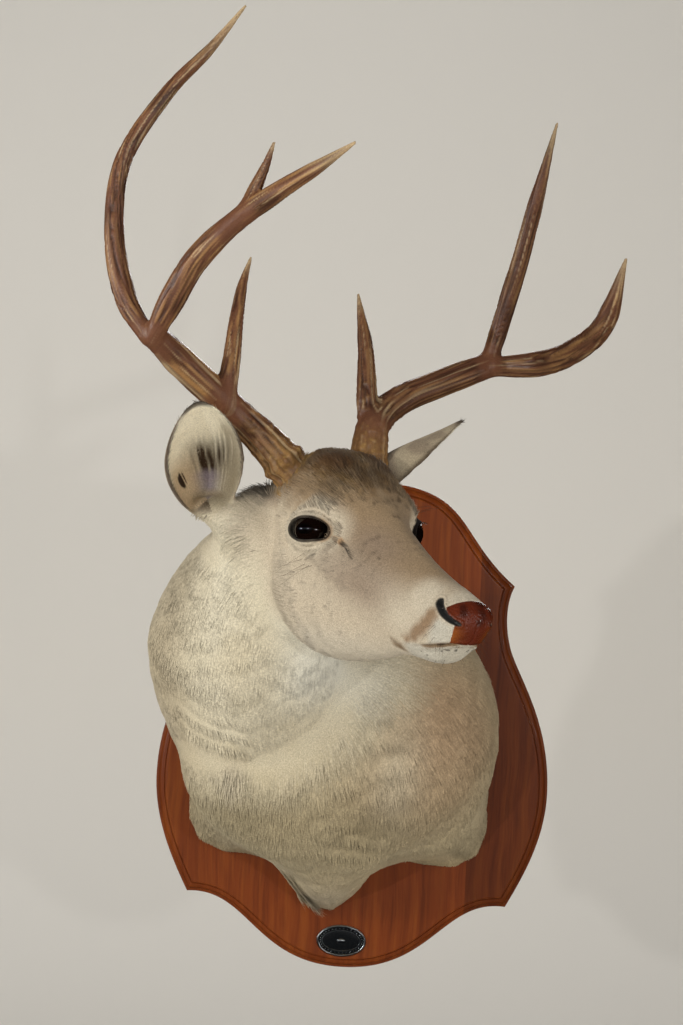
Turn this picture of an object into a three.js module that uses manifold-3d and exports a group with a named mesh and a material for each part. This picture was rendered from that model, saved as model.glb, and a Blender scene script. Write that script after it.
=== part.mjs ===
// White-tailed deer shoulder mount on a shield-shaped wall panel, life size.
//
// Millimetres, +Z up. The origin is the centre of the panel's flat back, which lies against the wall;
// +Y points into the wall and -Y out into the room, so a viewer facing the wall has +X on the right.
// The animal is modelled out to the tips of its coat and parted by thin cuts: trunk, neck, head, jaw,
// nose pad, ears. The antlers are parted at their forks.

import * as THREE from 'three';
import { mergeVertices } from 'three/addons/utils/BufferGeometryUtils.js';
import Module from 'manifold-3d';

const wasm = await Module();
wasm.setup();

// ---------------------------------------------------------------- driving dimensions

const GAP = 0.3;                          // clear space where two solids meet
const CLEAR = GAP * 1.5;                  // the same between faceted round forms

const PANEL = {
  halfHeight: 277.5,
  upperCorner: { x: 174, z: 166 },
  waist: { x: 171, z: 101 },
  lowerCorner: { x: 181.5, z: -199.5 },
  slab: 11,                               // square-edged part against the wall
  crown: 9,                               // moulded part in front of it
  ledge: 3,                               // flat left round the foot of the moulding
  mouldingWidth: 9,
  root: 2,                                // how far the crown starts inside the slab
};

const BADGE = { z: -245, x: -3, halfWidth: 28, halfHeight: 18, thickness: 2 };

// Head: x runs forward from between the eyes to the nose, y to the animal's left, z up.
const HEAD = {
  place: [-4, -412, 223],
  turn: 34,                               // degrees to its own left, from straight out of the wall
  nod: 22,                                // degrees, nose down
};

// Sections of the head: station x, top and bottom z, half width, height of the widest point,
// squareness above and below it.
const HEAD_SECTIONS = [
  { x: 183, top: 1, bottom: -17, half: 14, widest: -8, above: 2, below: 2 },
  { x: 176, top: 9, bottom: -27, half: 22, widest: -6, above: 2.1, below: 2.2 },
  { x: 166, top: 14, bottom: -47, half: 26, widest: -8, above: 2, below: 2.3 },
  { x: 150, top: 17, bottom: -57, half: 28, widest: -15, above: 1.8, below: 2.3 },
  { x: 128, top: 18, bottom: -63, half: 29, widest: -20, above: 1.6, below: 2.2 },
  { x: 103, top: 20, bottom: -73, half: 33, widest: -18, above: 1.45, below: 2.1 },
  { x: 78, top: 25, bottom: -91, half: 39, widest: -16, above: 1.3, below: 2.1 },
  { x: 53, top: 31, bottom: -106, half: 47, widest: -16, above: 1.2, below: 2.3 },
  { x: 28, top: 39, bottom: -118, half: 53, widest: -16, above: 1.3, below: 2.6 },
  { x: 3, top: 47, bottom: -125, half: 57, widest: -14, above: 1.9, below: 2.8 },
  { x: -22, top: 54, bottom: -126, half: 60, widest: -18, above: 2.2, below: 2.8 },
  { x: -47, top: 57, bottom: -118, half: 60, widest: -20, above: 2.2, below: 2.6 },
  { x: -72, top: 53, bottom: -92, half: 55, widest: -8, above: 2.1, below: 2.1 },
  { x: -97, top: 42, bottom: -74, half: 48, widest: -8, above: 2, below: 2 },
  { x: -119, top: 24, bottom: -45, half: 32, widest: -8, above: 2, below: 2 },
];

// Swellings and hollows of the face: where, how wide, how far out. They repeat on both sides.
const FACE_FORMS = [
  { name: 'brow', at: [-4, 52, 26], wide: 24, out: 7 },
  { name: 'eye hollow', at: [-1, 59, -2], wide: 20, out: -8 },
  { name: 'cheek', at: [-25, 54, -60], wide: 42, out: 5 },
  { name: 'cheekbone', at: [32, 46, -22], wide: 24, out: 3 },
  { name: 'tear pit', at: [31, 40, 9], wide: 20, out: -7 },
  { name: 'nostril wing', at: [168, 25, 2], wide: 13, out: 3 },
  { name: 'lip', at: [148, 28, -22], wide: 17, out: 2.5 },
];

const EYE = { at: [-10.7, 51.4, -3.7], radius: 17 };
const NOSE_PAD = { at: [180, 0, -5], radii: [16, 25, 17] };

// Side view of the lower jaw's cut: along the mouth line, then down behind the mouth's corner.
const JAW_CUT = [
  [215, -13], [177, -24], [155, -37], [130, -48], [112, -55], [101, -64], [92, -140], [215, -140],
];
const JAW_BREADTH = 160;

// Planes that part the flesh: a point on each, and the side that its first piece lies on.
const HEAD_CUT = { through: [-42, 0, -90], facing: [0.76, 0, 0.65] };
const NECK_CUT = { through: [-95, -190, 40], facing: [-0.25, -0.65, 0.72] };
const SHOULDER_CUTS = [
  { name: 'shoulder_left', through: [62, 0, -100], facing: [1, 0, 0.3] },
  { name: 'shoulder_right', through: [-96, 0, -150], facing: [-1, 0, 0.1] },
];

// Ears, each set in the part's frame: where it leaves the skull, its tip, the way its cup opens, and
// the cup's half turn at the root and at the tip in radians.
const EARS = {
  ear_right: {
    root: [-148, -366, 227], tip: [-160, -457, 332], opens: [0.33, -0.76, -0.56], wrap: 2.3, opened: 1,
  },
  ear_left: {
    root: [12, -312, 252], tip: [84, -320, 337], opens: [0.73, 0, -0.68], wrap: 1.95, opened: 0.3,
  },
};
const EAR = {
  halfWidth: 38,
  thickness: 5,
  hollow: 0.5,                            // least radius of the inside of the cup
  startsAt: 0.06, bluntness: 0.55,
  tipEnd: 0.985,                          // share of the length at which the tip is cut off
};
const EAR_BUTTS = [
  { at: [-112, -354, 220], radius: 33 }, { at: [-136, -357, 225], radius: 20 },
  { at: [-147, -355, 238], radius: 13 }, { at: [-104, -346, 240], radius: 26 },
  { at: [-10, -322, 236], radius: 29 },
];

// Trunk: upright sections from the panel forward, with three lobes of skin round its hem that fade
// out forwards within their depth.
const TRUNK_SECTIONS = [
  { y: -20.3, x: -14, z: 0, side: 174, up: 172, down: 120 },
  { y: -55, x: -14, z: 0, side: 175, up: 171, down: 126 },
  { y: -95, x: -16, z: -2, side: 173, up: 164, down: 133 },
  { y: -135, x: -24, z: -3, side: 163, up: 152, down: 132 },
  { y: -172, x: -36, z: -6, side: 151, up: 136, down: 126 },
  { y: -208, x: -54, z: -8, side: 130, up: 115, down: 112 },
  { y: -236, x: -68, z: -8, side: 100, up: 86, down: 86 },
  { y: -254, x: -79, z: -8, side: 62, up: 54, down: 54 },
  { y: -261, x: -84, z: -8, side: 30, up: 26, down: 26 },
];
const HEM_LOBES = [
  { name: 'brisket', angle: -93.4, out: 95, spread: 20, depth: 185 },
  { name: 'left shoulder', angle: -45, out: 74, spread: 20.5, depth: 120 },
  { name: 'right shoulder', angle: -137, out: 68, spread: 20, depth: 120 },
];

// Neck: sections from inside the trunk up to the skull; NAPE is the way its back edge faces.
const NAPE = [-0.75, 0.6, 0.25];
const NECK_SECTIONS = [
  { at: [-50, -60, 14], along: [-0.2, -0.9, 0.3], side: 128, back: 132, throat: 96 },
  { at: [-70, -105, 16], along: [-0.3, -0.85, 0.4], side: 116, back: 134, throat: 88 },
  { at: [-88, -150, 26], along: [-0.3, -0.7, 0.6], side: 106, back: 132, throat: 86 },
  { at: [-103, -205, 56], along: [-0.2, -0.6, 0.75], side: 96, back: 126, throat: 90 },
  { at: [-117, -252, 106], along: [-0.05, -0.5, 0.85], side: 90, back: 112, throat: 97 },
  { at: [-110, -290, 156], along: [0.2, -0.5, 0.84], side: 78, back: 82, throat: 90 },
  { at: [-90, -322, 200], along: [0.3, -0.55, 0.75], side: 68, back: 60, throat: 80 },
  { at: [-68, -350, 232], along: [0.4, -0.6, 0.7], side: 50, back: 46, throat: 60 },
];

// How finely each form is made.
const DETAIL = {
  curve: 5, moulding: 3, badge: 28,
  skull: { rings: 28, sides: 26 },
  trunk: { rings: 12, sides: 44 },
  neck: { rings: 12, sides: 28 },
  ear: { rings: 8, across: 8 },
  antler: { perSpan: 3, sides: 8 },
  ball: 16, pad: 14,
};

const TURN = Math.PI * 2;

// ---------------------------------------------------------------- materials

const material = (color, roughness, metalness = 0) =>
  new THREE.MeshStandardMaterial({ color, roughness, metalness });

const COAT = material('#c3b294', 0.95);
const EAR_COAT = material('#b5a68c', 0.95);
const BARE_SKIN = material('#4a2418', 0.45);
const GLASS_EYE = material('#120a06', 0.08);
const ANTLER_BROWN = material('#5c3d24', 0.55);
const PANEL_WOOD = material('#8f4a20', 0.35);
const BADGE_METAL = material('#9a9da0', 0.3, 0.9);

// ---------------------------------------------------------------- solids

const vec = (a) => new THREE.Vector3(...a);

function toSolid(geometry) {
  const bare = geometry.clone();
  for (const name of ['normal', 'uv']) bare.deleteAttribute(name);
  const merged = mergeVertices(bare, 1e-3);
  return new wasm.Manifold(new wasm.Mesh({
    numProp: 3,
    vertProperties: merged.attributes.position.array,
    triVerts: new Uint32Array(merged.index.array),
  }));
}

function toGeometry(solid) {
  const { numProp, numVert, vertProperties, triVerts } = solid.getMesh();
  const position = new Float32Array(numVert * 3);
  for (let i = 0; i < numVert; i++) {
    position.set(vertProperties.subarray(i * numProp, i * numProp + 3), i * 3);
  }
  const geometry = new THREE.BufferGeometry()
    .setAttribute('position', new THREE.BufferAttribute(position, 3))
    .setIndex(new THREE.BufferAttribute(new Uint32Array(triVerts), 1));
  geometry.computeVertexNormals();
  return geometry;
}

// A closed skin over rings of points in order, its ends closed straight across. All rings hold the
// same even number of points, the second half running back alongside the first.
function loft(rings) {
  const count = rings[0].length;
  const faces = [];
  for (let r = 0; r < rings.length - 1; r++) {
    for (let i = 0; i < count; i++) {
      const [a, b] = [r * count + i, r * count + (i + 1) % count];
      faces.push(a, b, b + count, a, b + count, a + count);
    }
  }
  const last = (rings.length - 1) * count;
  for (let i = 0; i < count / 2 - 1; i++) {
    const [near, far] = [count - 1 - i, count - 2 - i];
    faces.push(far, i + 1, i, near, far, i);
    faces.push(last + i, last + i + 1, last + far, last + i, last + far, last + near);
  }
  return new THREE.BufferGeometry().setFromPoints(rings.flat()).setIndex(faces);
}

// The same, turned outside in if its rings ran the other way round.
function loftSolid(rings) {
  const made = toSolid(loft(rings));
  return made.volume() > 0 ? made : toSolid(loft(rings.map((ring) => [...ring].reverse())));
}

// Values between numbered stations, on a smooth curve through them.
function between(stations, share, key) {
  const last = stations.length - 1;
  const place = share * last;
  const i = Math.min(Math.floor(place), last - 1);
  const t = place - i;
  const value = (k) => stations[Math.min(Math.max(k, 0), last)][key];
  const [a, b, c, d] = [value(i - 1), value(i), value(i + 1), value(i + 2)];
  const spline = (p, q, r, s) => 0.5 * (2 * q + (r - p) * t + (2 * p - 5 * q + 4 * r - s) * t * t
    + (3 * q - p - 3 * r + s) * t * t * t);
  return Array.isArray(b) ? b.map((_, n) => spline(a[n], b[n], c[n], d[n])) : spline(a, b, c, d);
}

// A solid spread a little every way, so that what is cut with it stays clear of it.
function swollen(solid, by) {
  const ways = [[by, 0, 0], [-by, 0, 0], [0, by, 0], [0, -by, 0], [0, 0, by], [0, 0, -by]];
  return ways.reduce((sum, way) => sum.add(solid.translate(way)), solid);
}

// A round bar with changing radius along a smooth curve through a few points.
function taperedBar(points, radii, steps, sides) {
  const curve = new THREE.CatmullRomCurve3(points.map(vec), false, 'centripetal');
  const { normals, binormals } = curve.computeFrenetFrames(steps, false);
  const stations = radii.map((r) => ({ r }));
  const rings = Array.from({ length: steps + 1 }, (_, k) => {
    const middle = curve.getPointAt(k / steps);
    const radius = between(stations, k / steps, 'r');
    return Array.from({ length: sides }, (_, i) => {
      const angle = (i / sides) * TURN;
      return middle.clone()
        .addScaledVector(normals[k], radius * Math.cos(angle))
        .addScaledVector(binormals[k], radius * Math.sin(angle));
    });
  });
  return loftSolid(rings);
}

const ellipsoid = (at, radii, detail) => toSolid(new THREE.SphereGeometry(1, detail, detail / 2)
  .scale(...radii).translate(...at));
const ball = (at, radius) => ellipsoid(at, [radius, radius, radius], DETAIL.ball);

// The biggest body of a solid, where a cut leaves crumbs.
const largest = (solid) => solid.decompose().sort((a, b) => b.volume() - a.volume())[0];

const minus = (solid, others) => others.reduce((rest, other) => rest.subtract(other), solid);

// Both pieces of a solid parted by a plane, with the gap between them.
function part(solid, { through, facing }) {
  const normal = vec(facing).normalize();
  const at = vec(through).dot(normal);
  return [
    solid.trimByPlane(normal.toArray(), at + GAP / 2),
    solid.trimByPlane(normal.clone().negate().toArray(), -(at - GAP / 2)),
  ];
}

// ---------------------------------------------------------------- panel and badge

function panelShape() {
  const { halfHeight, upperCorner, waist, lowerCorner } = PANEL;
  const shape = new THREE.Shape();
  const half = (s) => [
    [s * 124, halfHeight, s * 100, 225, s * upperCorner.x, upperCorner.z],
    [s * 167, 152, s * 164, 128, s * waist.x, waist.z],
    [s * 178, 68, s * 223, 20, s * 223, -69],
    [s * 223, -120, s * 200, -165, s * lowerCorner.x, lowerCorner.z],
    [s * 111, -193, s * 102, -halfHeight, 0, -halfHeight],
  ];
  shape.moveTo(0, halfHeight);
  for (const curve of half(-1)) shape.bezierCurveTo(...curve);
  const back = half(1).reverse();
  back.forEach(([ax, az, bx, bz], i) => {
    const end = back[i + 1] ? back[i + 1].slice(4) : [0, halfHeight];
    shape.bezierCurveTo(bx, bz, ax, az, ...end);
  });
  return shape;
}

// A square-edged slab with the moulded crown in front; the crown starts inside the slab.
function makePanel() {
  const { slab, crown, ledge, mouldingWidth, root } = PANEL;
  const shape = panelShape();
  const base = new THREE.ExtrudeGeometry(shape, {
    depth: slab,
    bevelEnabled: false,
    curveSegments: DETAIL.curve,
  });
  const moulded = new THREE.ExtrudeGeometry(shape, {
    depth: root,
    bevelThickness: crown,
    bevelSize: mouldingWidth,
    bevelOffset: -(mouldingWidth + ledge),
    bevelSegments: DETAIL.moulding,
    curveSegments: DETAIL.curve,
  }).translate(0, 0, slab - root);
  const upright = (geometry) => toSolid(geometry.rotateX(Math.PI / 2));
  return upright(base).add(upright(moulded)).trimByPlane([0, -1, 0], 0);
}

function makeBadge() {
  const { halfWidth, halfHeight, thickness } = BADGE;
  return toSolid(new THREE.CylinderGeometry(1, 1, thickness, DETAIL.badge).scale(halfWidth, 1, halfHeight));
}

// ---------------------------------------------------------------- head, in its own frame

function faceForms(point) {
  let out = 0;
  for (const form of FACE_FORMS) {
    for (const side of [1, -1]) {
      const [x, y, z] = form.at;
      const away = point.distanceTo(new THREE.Vector3(x, y * side, z)) / form.wide;
      out += form.out * Math.exp(-2 * away * away);
    }
  }
  return out;
}

function headRing(share, sides) {
  const s = Object.fromEntries(Object.keys(HEAD_SECTIONS[0])
    .map((key) => [key, between(HEAD_SECTIONS, share, key)]));
  return Array.from({ length: sides }, (_, i) => {
    const angle = (i / sides) * TURN;
    const [c, n] = [Math.cos(angle), Math.sin(angle)];
    const soft = (v) => Math.sign(v) * Math.abs(v) ** (2 / (n > 0 ? s.above : s.below));
    const height = n > 0 ? s.top - s.widest : s.widest - s.bottom;
    const point = new THREE.Vector3(s.x, s.half * soft(c), s.widest + height * soft(n));
    const outward = new THREE.Vector3(0, c, n);
    return point.addScaledVector(outward, faceForms(point));
  });
}

function makeSkull() {
  const { rings, sides } = DETAIL.skull;
  return loftSolid(Array.from({ length: rings + 1 }, (_, k) => headRing(k / rings, sides)));
}

const headPlace = new THREE.Group();
headPlace.position.set(...HEAD.place);
headPlace.rotation.set(0, THREE.MathUtils.degToRad(HEAD.nod),
  THREE.MathUtils.degToRad(HEAD.turn - 90), 'ZYX');
headPlace.updateMatrixWorld(true);

// A solid made in the head's frame, set where the head is; and a cut given in that frame.
const inHead = (solid) => solid.transform(headPlace.matrixWorld.elements);
const cutInHead = ({ through, facing }) => ({
  through: vec(through).applyMatrix4(headPlace.matrixWorld).toArray(),
  facing: vec(facing).transformDirection(headPlace.matrixWorld).toArray(),
});

const eyePlaces = { eye_right: -1, eye_left: 1 };
const eyeball = (side, spare) => inHead(ball([EYE.at[0], EYE.at[1] * side, EYE.at[2]], EYE.radius + spare));

const nosePadZone = (spare) =>
  inHead(ellipsoid(NOSE_PAD.at, NOSE_PAD.radii.map((r) => r + spare), DETAIL.pad));

// Everything in front of and below the jaw's cut, moved a little back and up for the clear space.
function jawZone(spare) {
  const outline = new THREE.Shape(JAW_CUT.map(([x, z]) => new THREE.Vector2(x - spare, z + spare)));
  const block = new THREE.ExtrudeGeometry(outline, { depth: JAW_BREADTH + spare, bevelEnabled: false });
  return inHead(toSolid(block.translate(0, 0, -(JAW_BREADTH + spare) / 2).rotateX(Math.PI / 2)));
}

// ---------------------------------------------------------------- ears

// Width along an ear, 1 at its broadest: a leaf that starts part grown and comes to a point.
const earWidth = (t) =>
  Math.sin(Math.PI * (EAR.startsAt + (1 - EAR.startsAt) * t)) ** EAR.bluntness;

// One cross-section: the outside of the cup, then back along its inside.
function earRing(t, { root, tip, opens, wrap, opened }) {
  const along = vec(tip).sub(vec(root));
  const length = along.length();
  along.normalize();
  const front = vec(opens).addScaledVector(along, -vec(opens).dot(along)).normalize();
  const across = new THREE.Vector3().crossVectors(along, front);
  const width = EAR.halfWidth * earWidth(t);
  const cup = THREE.MathUtils.lerp(wrap, opened, t);
  const radius = width / Math.sin(Math.min(cup, Math.PI / 2));
  const count = DETAIL.ear.across;
  const arc = (r) => Array.from({ length: count }, (_, i) => {
    const angle = cup * (2 * i / (count - 1) - 1);
    return vec(root)
      .addScaledVector(along, length * t)
      .addScaledVector(across, r * Math.sin(angle))
      .addScaledVector(front, radius * Math.cos(cup) - r * Math.cos(angle));
  });
  return [...arc(radius), ...arc(Math.max(radius - EAR.thickness, EAR.hollow)).reverse()];
}

function makeEar(ear) {
  const { rings } = DETAIL.ear;
  return loftSolid(Array.from({ length: rings + 1 }, (_, k) => earRing(k / rings * EAR.tipEnd, ear)));
}

// ---------------------------------------------------------------- trunk and neck

function hemLobe(angle, ahead) {
  const turn = THREE.MathUtils.radToDeg(angle);
  const out = (lobe) => {
    const off = ((turn - lobe.angle + 540) % 360) - 180;
    const fade = Math.max(0, 1 - ahead / lobe.depth) ** 1.25;
    return lobe.out * fade * Math.exp(-((off / lobe.spread) ** 2));
  };
  return HEM_LOBES.reduce((sum, lobe) => sum + out(lobe), 0);
}

function trunkRing(share, sides) {
  const value = (key) => between(TRUNK_SECTIONS, share, key);
  const y = value('y');
  return Array.from({ length: sides }, (_, i) => {
    const angle = (i / sides) * TURN;
    const [c, n] = [Math.cos(angle), Math.sin(angle)];
    const [side, high] = [value('side'), value(n > 0 ? 'up' : 'down')];
    const reach = 1 / Math.hypot(c / side, n / high) + hemLobe(angle, TRUNK_SECTIONS[0].y - y);
    return new THREE.Vector3(value('x') + reach * c, y, value('z') + reach * n);
  });
}

function makeTrunk() {
  const { rings, sides } = DETAIL.trunk;
  return loftSolid(Array.from({ length: rings + 1 }, (_, k) => trunkRing(k / rings, sides)));
}

function neckRing(share, sides) {
  const value = (key) => between(NECK_SECTIONS, share, key);
  const along = vec(value('along')).normalize();
  const back = vec(NAPE).addScaledVector(along, -vec(NAPE).dot(along)).normalize();
  const across = new THREE.Vector3().crossVectors(back, along);
  return Array.from({ length: sides }, (_, i) => {
    const angle = (i / sides) * TURN;
    const n = Math.sin(angle);
    return vec(value('at'))
      .addScaledVector(across, value('side') * Math.cos(angle))
      .addScaledVector(back, value(n > 0 ? 'back' : 'throat') * n);
  });
}

function makeNeck() {
  const { rings, sides } = DETAIL.neck;
  return loftSolid(Array.from({ length: rings + 1 }, (_, k) => neckRing(k / rings, sides)));
}

// ---------------------------------------------------------------- antlers

// Each bar: the centre line in the part's frame, the radius at even steps along it, and the bars it
// grows from.
const ANTLERS = {
  antler_right_beam: {
    line: [[-62, -366, 262], [-80, -368, 280], [-106, -373, 306], [-140, -384, 335], [-180, -414, 368],
      [-206, -448, 396]],
    radii: [21, 18.5, 15.5, 15, 14.5, 12.5],
  },
  antler_right_brow_tine: {
    line: [[-141, -390, 334], [-137, -385, 376], [-135, -375, 414], [-132, -362, 448], [-126, -350, 477]],
    radii: [11, 9, 7.5, 5.5, 1.5],
    from: ['antler_right_beam'],
  },
  antler_right_fore_beam: {
    line: [[-206, -444, 384], [-185, -466, 422], [-165, -484, 453], [-135, -502, 482], [-96, -524, 508],
      [-62, -542, 528], [-32, -560, 546]],
    radii: [12.5, 12.5, 11.5, 10.5, 9, 6.5, 1.5],
    from: ['antler_right_beam'],
  },
  antler_right_fore_tine: {
    line: [[-128, -503, 484], [-118, -510, 507], [-108, -518, 530], [-101, -525, 550]],
    radii: [9.5, 7, 4.5, 1.5],
    from: ['antler_right_fore_beam'],
  },
  antler_right_long_tine: {
    line: [[-206, -441, 384], [-231, -440, 422], [-244, -440, 480], [-239, -441, 544], [-203, -446, 604],
      [-165, -451, 646], [-136, -455, 684]],
    radii: [11.5, 10.5, 9, 8, 7, 5.5, 1.5],
    from: ['antler_right_beam', 'antler_right_fore_beam'],
  },
  antler_left_beam: {
    line: [[-4, -332, 262], [-5, -330, 285], [-1, -322, 326], [22, -303, 351], [60, -278, 371],
      [116, -252, 397]],
    radii: [21, 18, 15, 14, 14, 13.5],
  },
  antler_left_brow_tine: {
    line: [[-4, -322, 318], [-9, -318, 350], [-13, -305, 399], [-23, -290, 455]],
    radii: [12, 10, 7.5, 1.5],
    from: ['antler_left_beam'],
  },
  antler_left_fore_beam: {
    line: [[108, -251, 393], [160, -290, 396], [189, -330, 408], [209, -368, 431], [219, -410, 485]],
    radii: [13, 13, 12, 10, 1.5],
    from: ['antler_left_beam'],
  },
  antler_left_back_tine: {
    line: [[111, -252, 396], [124, -268, 451], [136, -290, 505], [157, -345, 620]],
    radii: [13, 9.5, 8, 1.5],
    from: ['antler_left_beam', 'antler_left_fore_beam'],
  },
};

function antlerBar(name, spare) {
  const { line, radii } = ANTLERS[name];
  const steps = (line.length - 1) * DETAIL.antler.perSpan - 1;
  return taperedBar(line, radii.map((r) => r + spare), steps, DETAIL.antler.sides);
}

// A bar clear of the bars it grows from.
function makeAntler(name) {
  const { from = [] } = ANTLERS[name];
  return largest(minus(antlerBar(name, 0), from.map((other) => antlerBar(other, CLEAR))));
}

const antlerBases = () => ['antler_right_beam', 'antler_left_beam'].map((name) => antlerBar(name, CLEAR));

// ---------------------------------------------------------------- putting it together

// The skull, the neck and the swellings that the ears grow from, which the ears stand clear of.
function makeHeadAndNeck() {
  const butts = EAR_BUTTS.map(({ at, radius }) => ball(at, radius));
  return butts.reduce((sum, butt) => sum.add(butt), makeNeck().add(inHead(makeSkull())));
}

// All the flesh in one body in front of the panel, with sockets for the eyes and the antlers.
function makeFlesh(headAndNeck, panelFront) {
  const whole = makeTrunk().add(headAndNeck).trimByPlane([0, -1, 0], panelFront);
  const sockets = Object.values(eyePlaces).map((side) => eyeball(side, CLEAR));
  return largest(minus(whole, [...sockets, ...antlerBases()]));
}

// The flesh parted into the pieces a person would name.
function partFlesh(flesh) {
  const [headAndJaw, belowHead] = part(flesh, cutInHead(HEAD_CUT));
  const [neck, trunk] = part(belowHead, NECK_CUT);
  const face = headAndJaw.subtract(nosePadZone(GAP));
  const pieces = {
    head: face.subtract(jawZone(GAP)),
    lower_jaw: face.intersect(jawZone(0)),
    nose_pad: headAndJaw.intersect(nosePadZone(0)),
    neck,
  };
  let chest = trunk;
  for (const cut of SHOULDER_CUTS) [pieces[cut.name], chest] = part(chest, cut);
  return { ...pieces, chest };
}

const mount = new THREE.Group();

function addNode(name, solid, looks) {
  const mesh = new THREE.Mesh(toGeometry(solid), looks);
  mesh.name = name;
  mount.add(mesh);
  return mesh;
}

const panelFront = PANEL.slab + PANEL.crown + GAP;
addNode('panel', makePanel(), PANEL_WOOD);
const badge = addNode('badge', makeBadge(), BADGE_METAL);
badge.position.set(BADGE.x, -(panelFront + BADGE.thickness / 2), BADGE.z);

const headAndNeck = makeHeadAndNeck();
for (const [name, piece] of Object.entries(partFlesh(makeFlesh(headAndNeck, panelFront)))) {
  addNode(name, largest(piece), name === 'nose_pad' ? BARE_SKIN : COAT);
}
for (const [name, ear] of Object.entries(EARS)) {
  const clearing = [swollen(headAndNeck, CLEAR), ...antlerBases()];
  addNode(name, largest(minus(makeEar(ear), clearing)), EAR_COAT);
}
for (const [name, side] of Object.entries(eyePlaces)) addNode(name, eyeball(side, 0), GLASS_EYE);
for (const name of Object.keys(ANTLERS)) addNode(name, makeAntler(name), ANTLER_BROWN);

export default mount;
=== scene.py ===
# White-tailed deer shoulder mount on a shield-shaped wall panel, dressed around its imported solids.
# The solids reach to the tips of the coat; here a skin is drawn inside them and the hair laid over it.

import bmesh
import bpy
import numpy as np
from mathutils import Matrix, Vector
from mathutils.kdtree import KDTree


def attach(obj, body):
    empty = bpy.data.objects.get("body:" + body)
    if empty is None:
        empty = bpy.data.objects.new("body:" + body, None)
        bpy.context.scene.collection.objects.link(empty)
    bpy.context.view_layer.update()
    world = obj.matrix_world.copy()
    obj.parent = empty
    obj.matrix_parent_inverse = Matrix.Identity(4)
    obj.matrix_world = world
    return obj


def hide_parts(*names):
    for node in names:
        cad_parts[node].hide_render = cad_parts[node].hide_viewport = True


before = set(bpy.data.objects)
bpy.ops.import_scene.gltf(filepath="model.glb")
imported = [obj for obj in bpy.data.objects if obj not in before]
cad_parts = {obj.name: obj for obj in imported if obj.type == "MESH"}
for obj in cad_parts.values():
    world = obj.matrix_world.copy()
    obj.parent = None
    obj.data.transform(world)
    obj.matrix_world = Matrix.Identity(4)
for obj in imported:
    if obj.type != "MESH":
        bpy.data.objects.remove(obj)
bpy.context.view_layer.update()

# ---------------------------------------------------------------- panel
# The board is cut to a shield from planks glued edge to edge. Its front edge is routed with a rounded
# moulding and a small step, and it is stained orange-brown under clear varnish. Its back is flat.

MM = 0.001                                # lengths below are in millimetres, as in the solids
PANEL_TOP = (0, 277.5)
PANEL_CURVES = (                          # down the right half: two handles and the end of each curve
    ((124, 277.5), (100, 225), (174, 166)),
    ((167, 152), (164, 128), (171, 101)),
    ((178, 68), (223, 20), (223, -69)),
    ((223, -120), (200, -165), (181.5, -199.5)),
    ((111, -193), (102, -277.5), (0, -277.5)),
)
PANEL_EDGE = (                            # the edge's profile: how far in, how far off the wall
    (0, 0), (0, 9.4), (0.5, 10.5), (1.4, 11), (3, 11.1), (3.5, 12.4), (4.6, 14.4), (6.2, 15.9),
    (8.2, 16.7), (9.6, 16.8), (10, 16.3), (10.4, 16.5), (10.8, 18.6), (11.4, 19.7), (12.4, 20), (13.4, 20),
)
PANEL_FRONT = 20
PLANK_SEAMS = ((0.0, 0.98), (0.13, 1.03), (0.36, 0.99), (0.57, 1.02), (0.755, 1.15), (0.80, 0.72))
PANEL_BREADTH = 446
PANEL_STAIN = ((0.3, "#5c2607"), (0.5, "#6e310b"), (0.7, "#7d3e10"))     # from the grain's dark to its light


def paint(code):
    """The linear colour of a #rrggbb code."""
    share = np.array([int(code[i:i + 2], 16) for i in (1, 3, 5)]) / 255
    return np.where(share < 0.04045, share / 12.92, ((share + 0.055) / 1.055) ** 2.4)


def add_piece(name, points, faces, *materials):
    """A smooth-shaded object from points in millimetres."""
    mesh = bpy.data.meshes.new(name)
    if isinstance(faces, np.ndarray):
        count, sides = faces.shape
        mesh.vertices.add(len(points))
        mesh.vertices.foreach_set("co", (np.asarray(points) * MM).astype(np.float32).ravel())
        mesh.loops.add(count * sides)
        mesh.loops.foreach_set("vertex_index", faces.astype(np.int32).ravel())
        mesh.polygons.add(count)
        mesh.polygons.foreach_set("loop_start", np.arange(count, dtype=np.int32) * sides)
        mesh.update(calc_edges=True)
    else:
        mesh.from_pydata([tuple(p) for p in np.asarray(points) * MM], [], faces)
    mesh.shade_smooth()
    for material in materials:
        mesh.materials.append(material)
    piece = bpy.data.objects.new(name, mesh)
    bpy.context.scene.collection.objects.link(piece)
    return piece


def new_material(name, **settings):
    """A material, and its shader with these plain settings."""
    material = bpy.data.materials.new(name)
    material.use_nodes = True
    shader = material.node_tree.nodes["Principled BSDF"]
    for socket, value in settings.items():
        shader.inputs[socket.replace("_", " ").title().replace("Ior", "IOR")].default_value = value
    return material, shader


def add_node(tree, kind, inputs=None, **settings):
    """A shader node, with its settings and what its inputs take: values or other nodes' outputs."""
    node = tree.nodes.new("ShaderNode" + kind)
    for key, value in settings.items():
        setattr(node, key, value)
    for key, value in (inputs or {}).items():
        if isinstance(value, bpy.types.NodeSocket):
            tree.links.new(value, node.inputs[key])
        else:
            node.inputs[key].default_value = value
    return node


def colour_ramp(tree, factor, stops, interpolation="LINEAR"):
    """Colours along a factor; a stop is its place and its linear colour."""
    ramp = add_node(tree, "ValToRGB", {"Fac": factor})
    ramp.color_ramp.interpolation = interpolation
    while len(ramp.color_ramp.elements) < len(stops):
        ramp.color_ramp.elements.new(1)
    for element, (place, colour) in zip(ramp.color_ramp.elements, stops):
        element.position = place
        element.color = (*colour, 1)
    return ramp.outputs["Color"]


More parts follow.
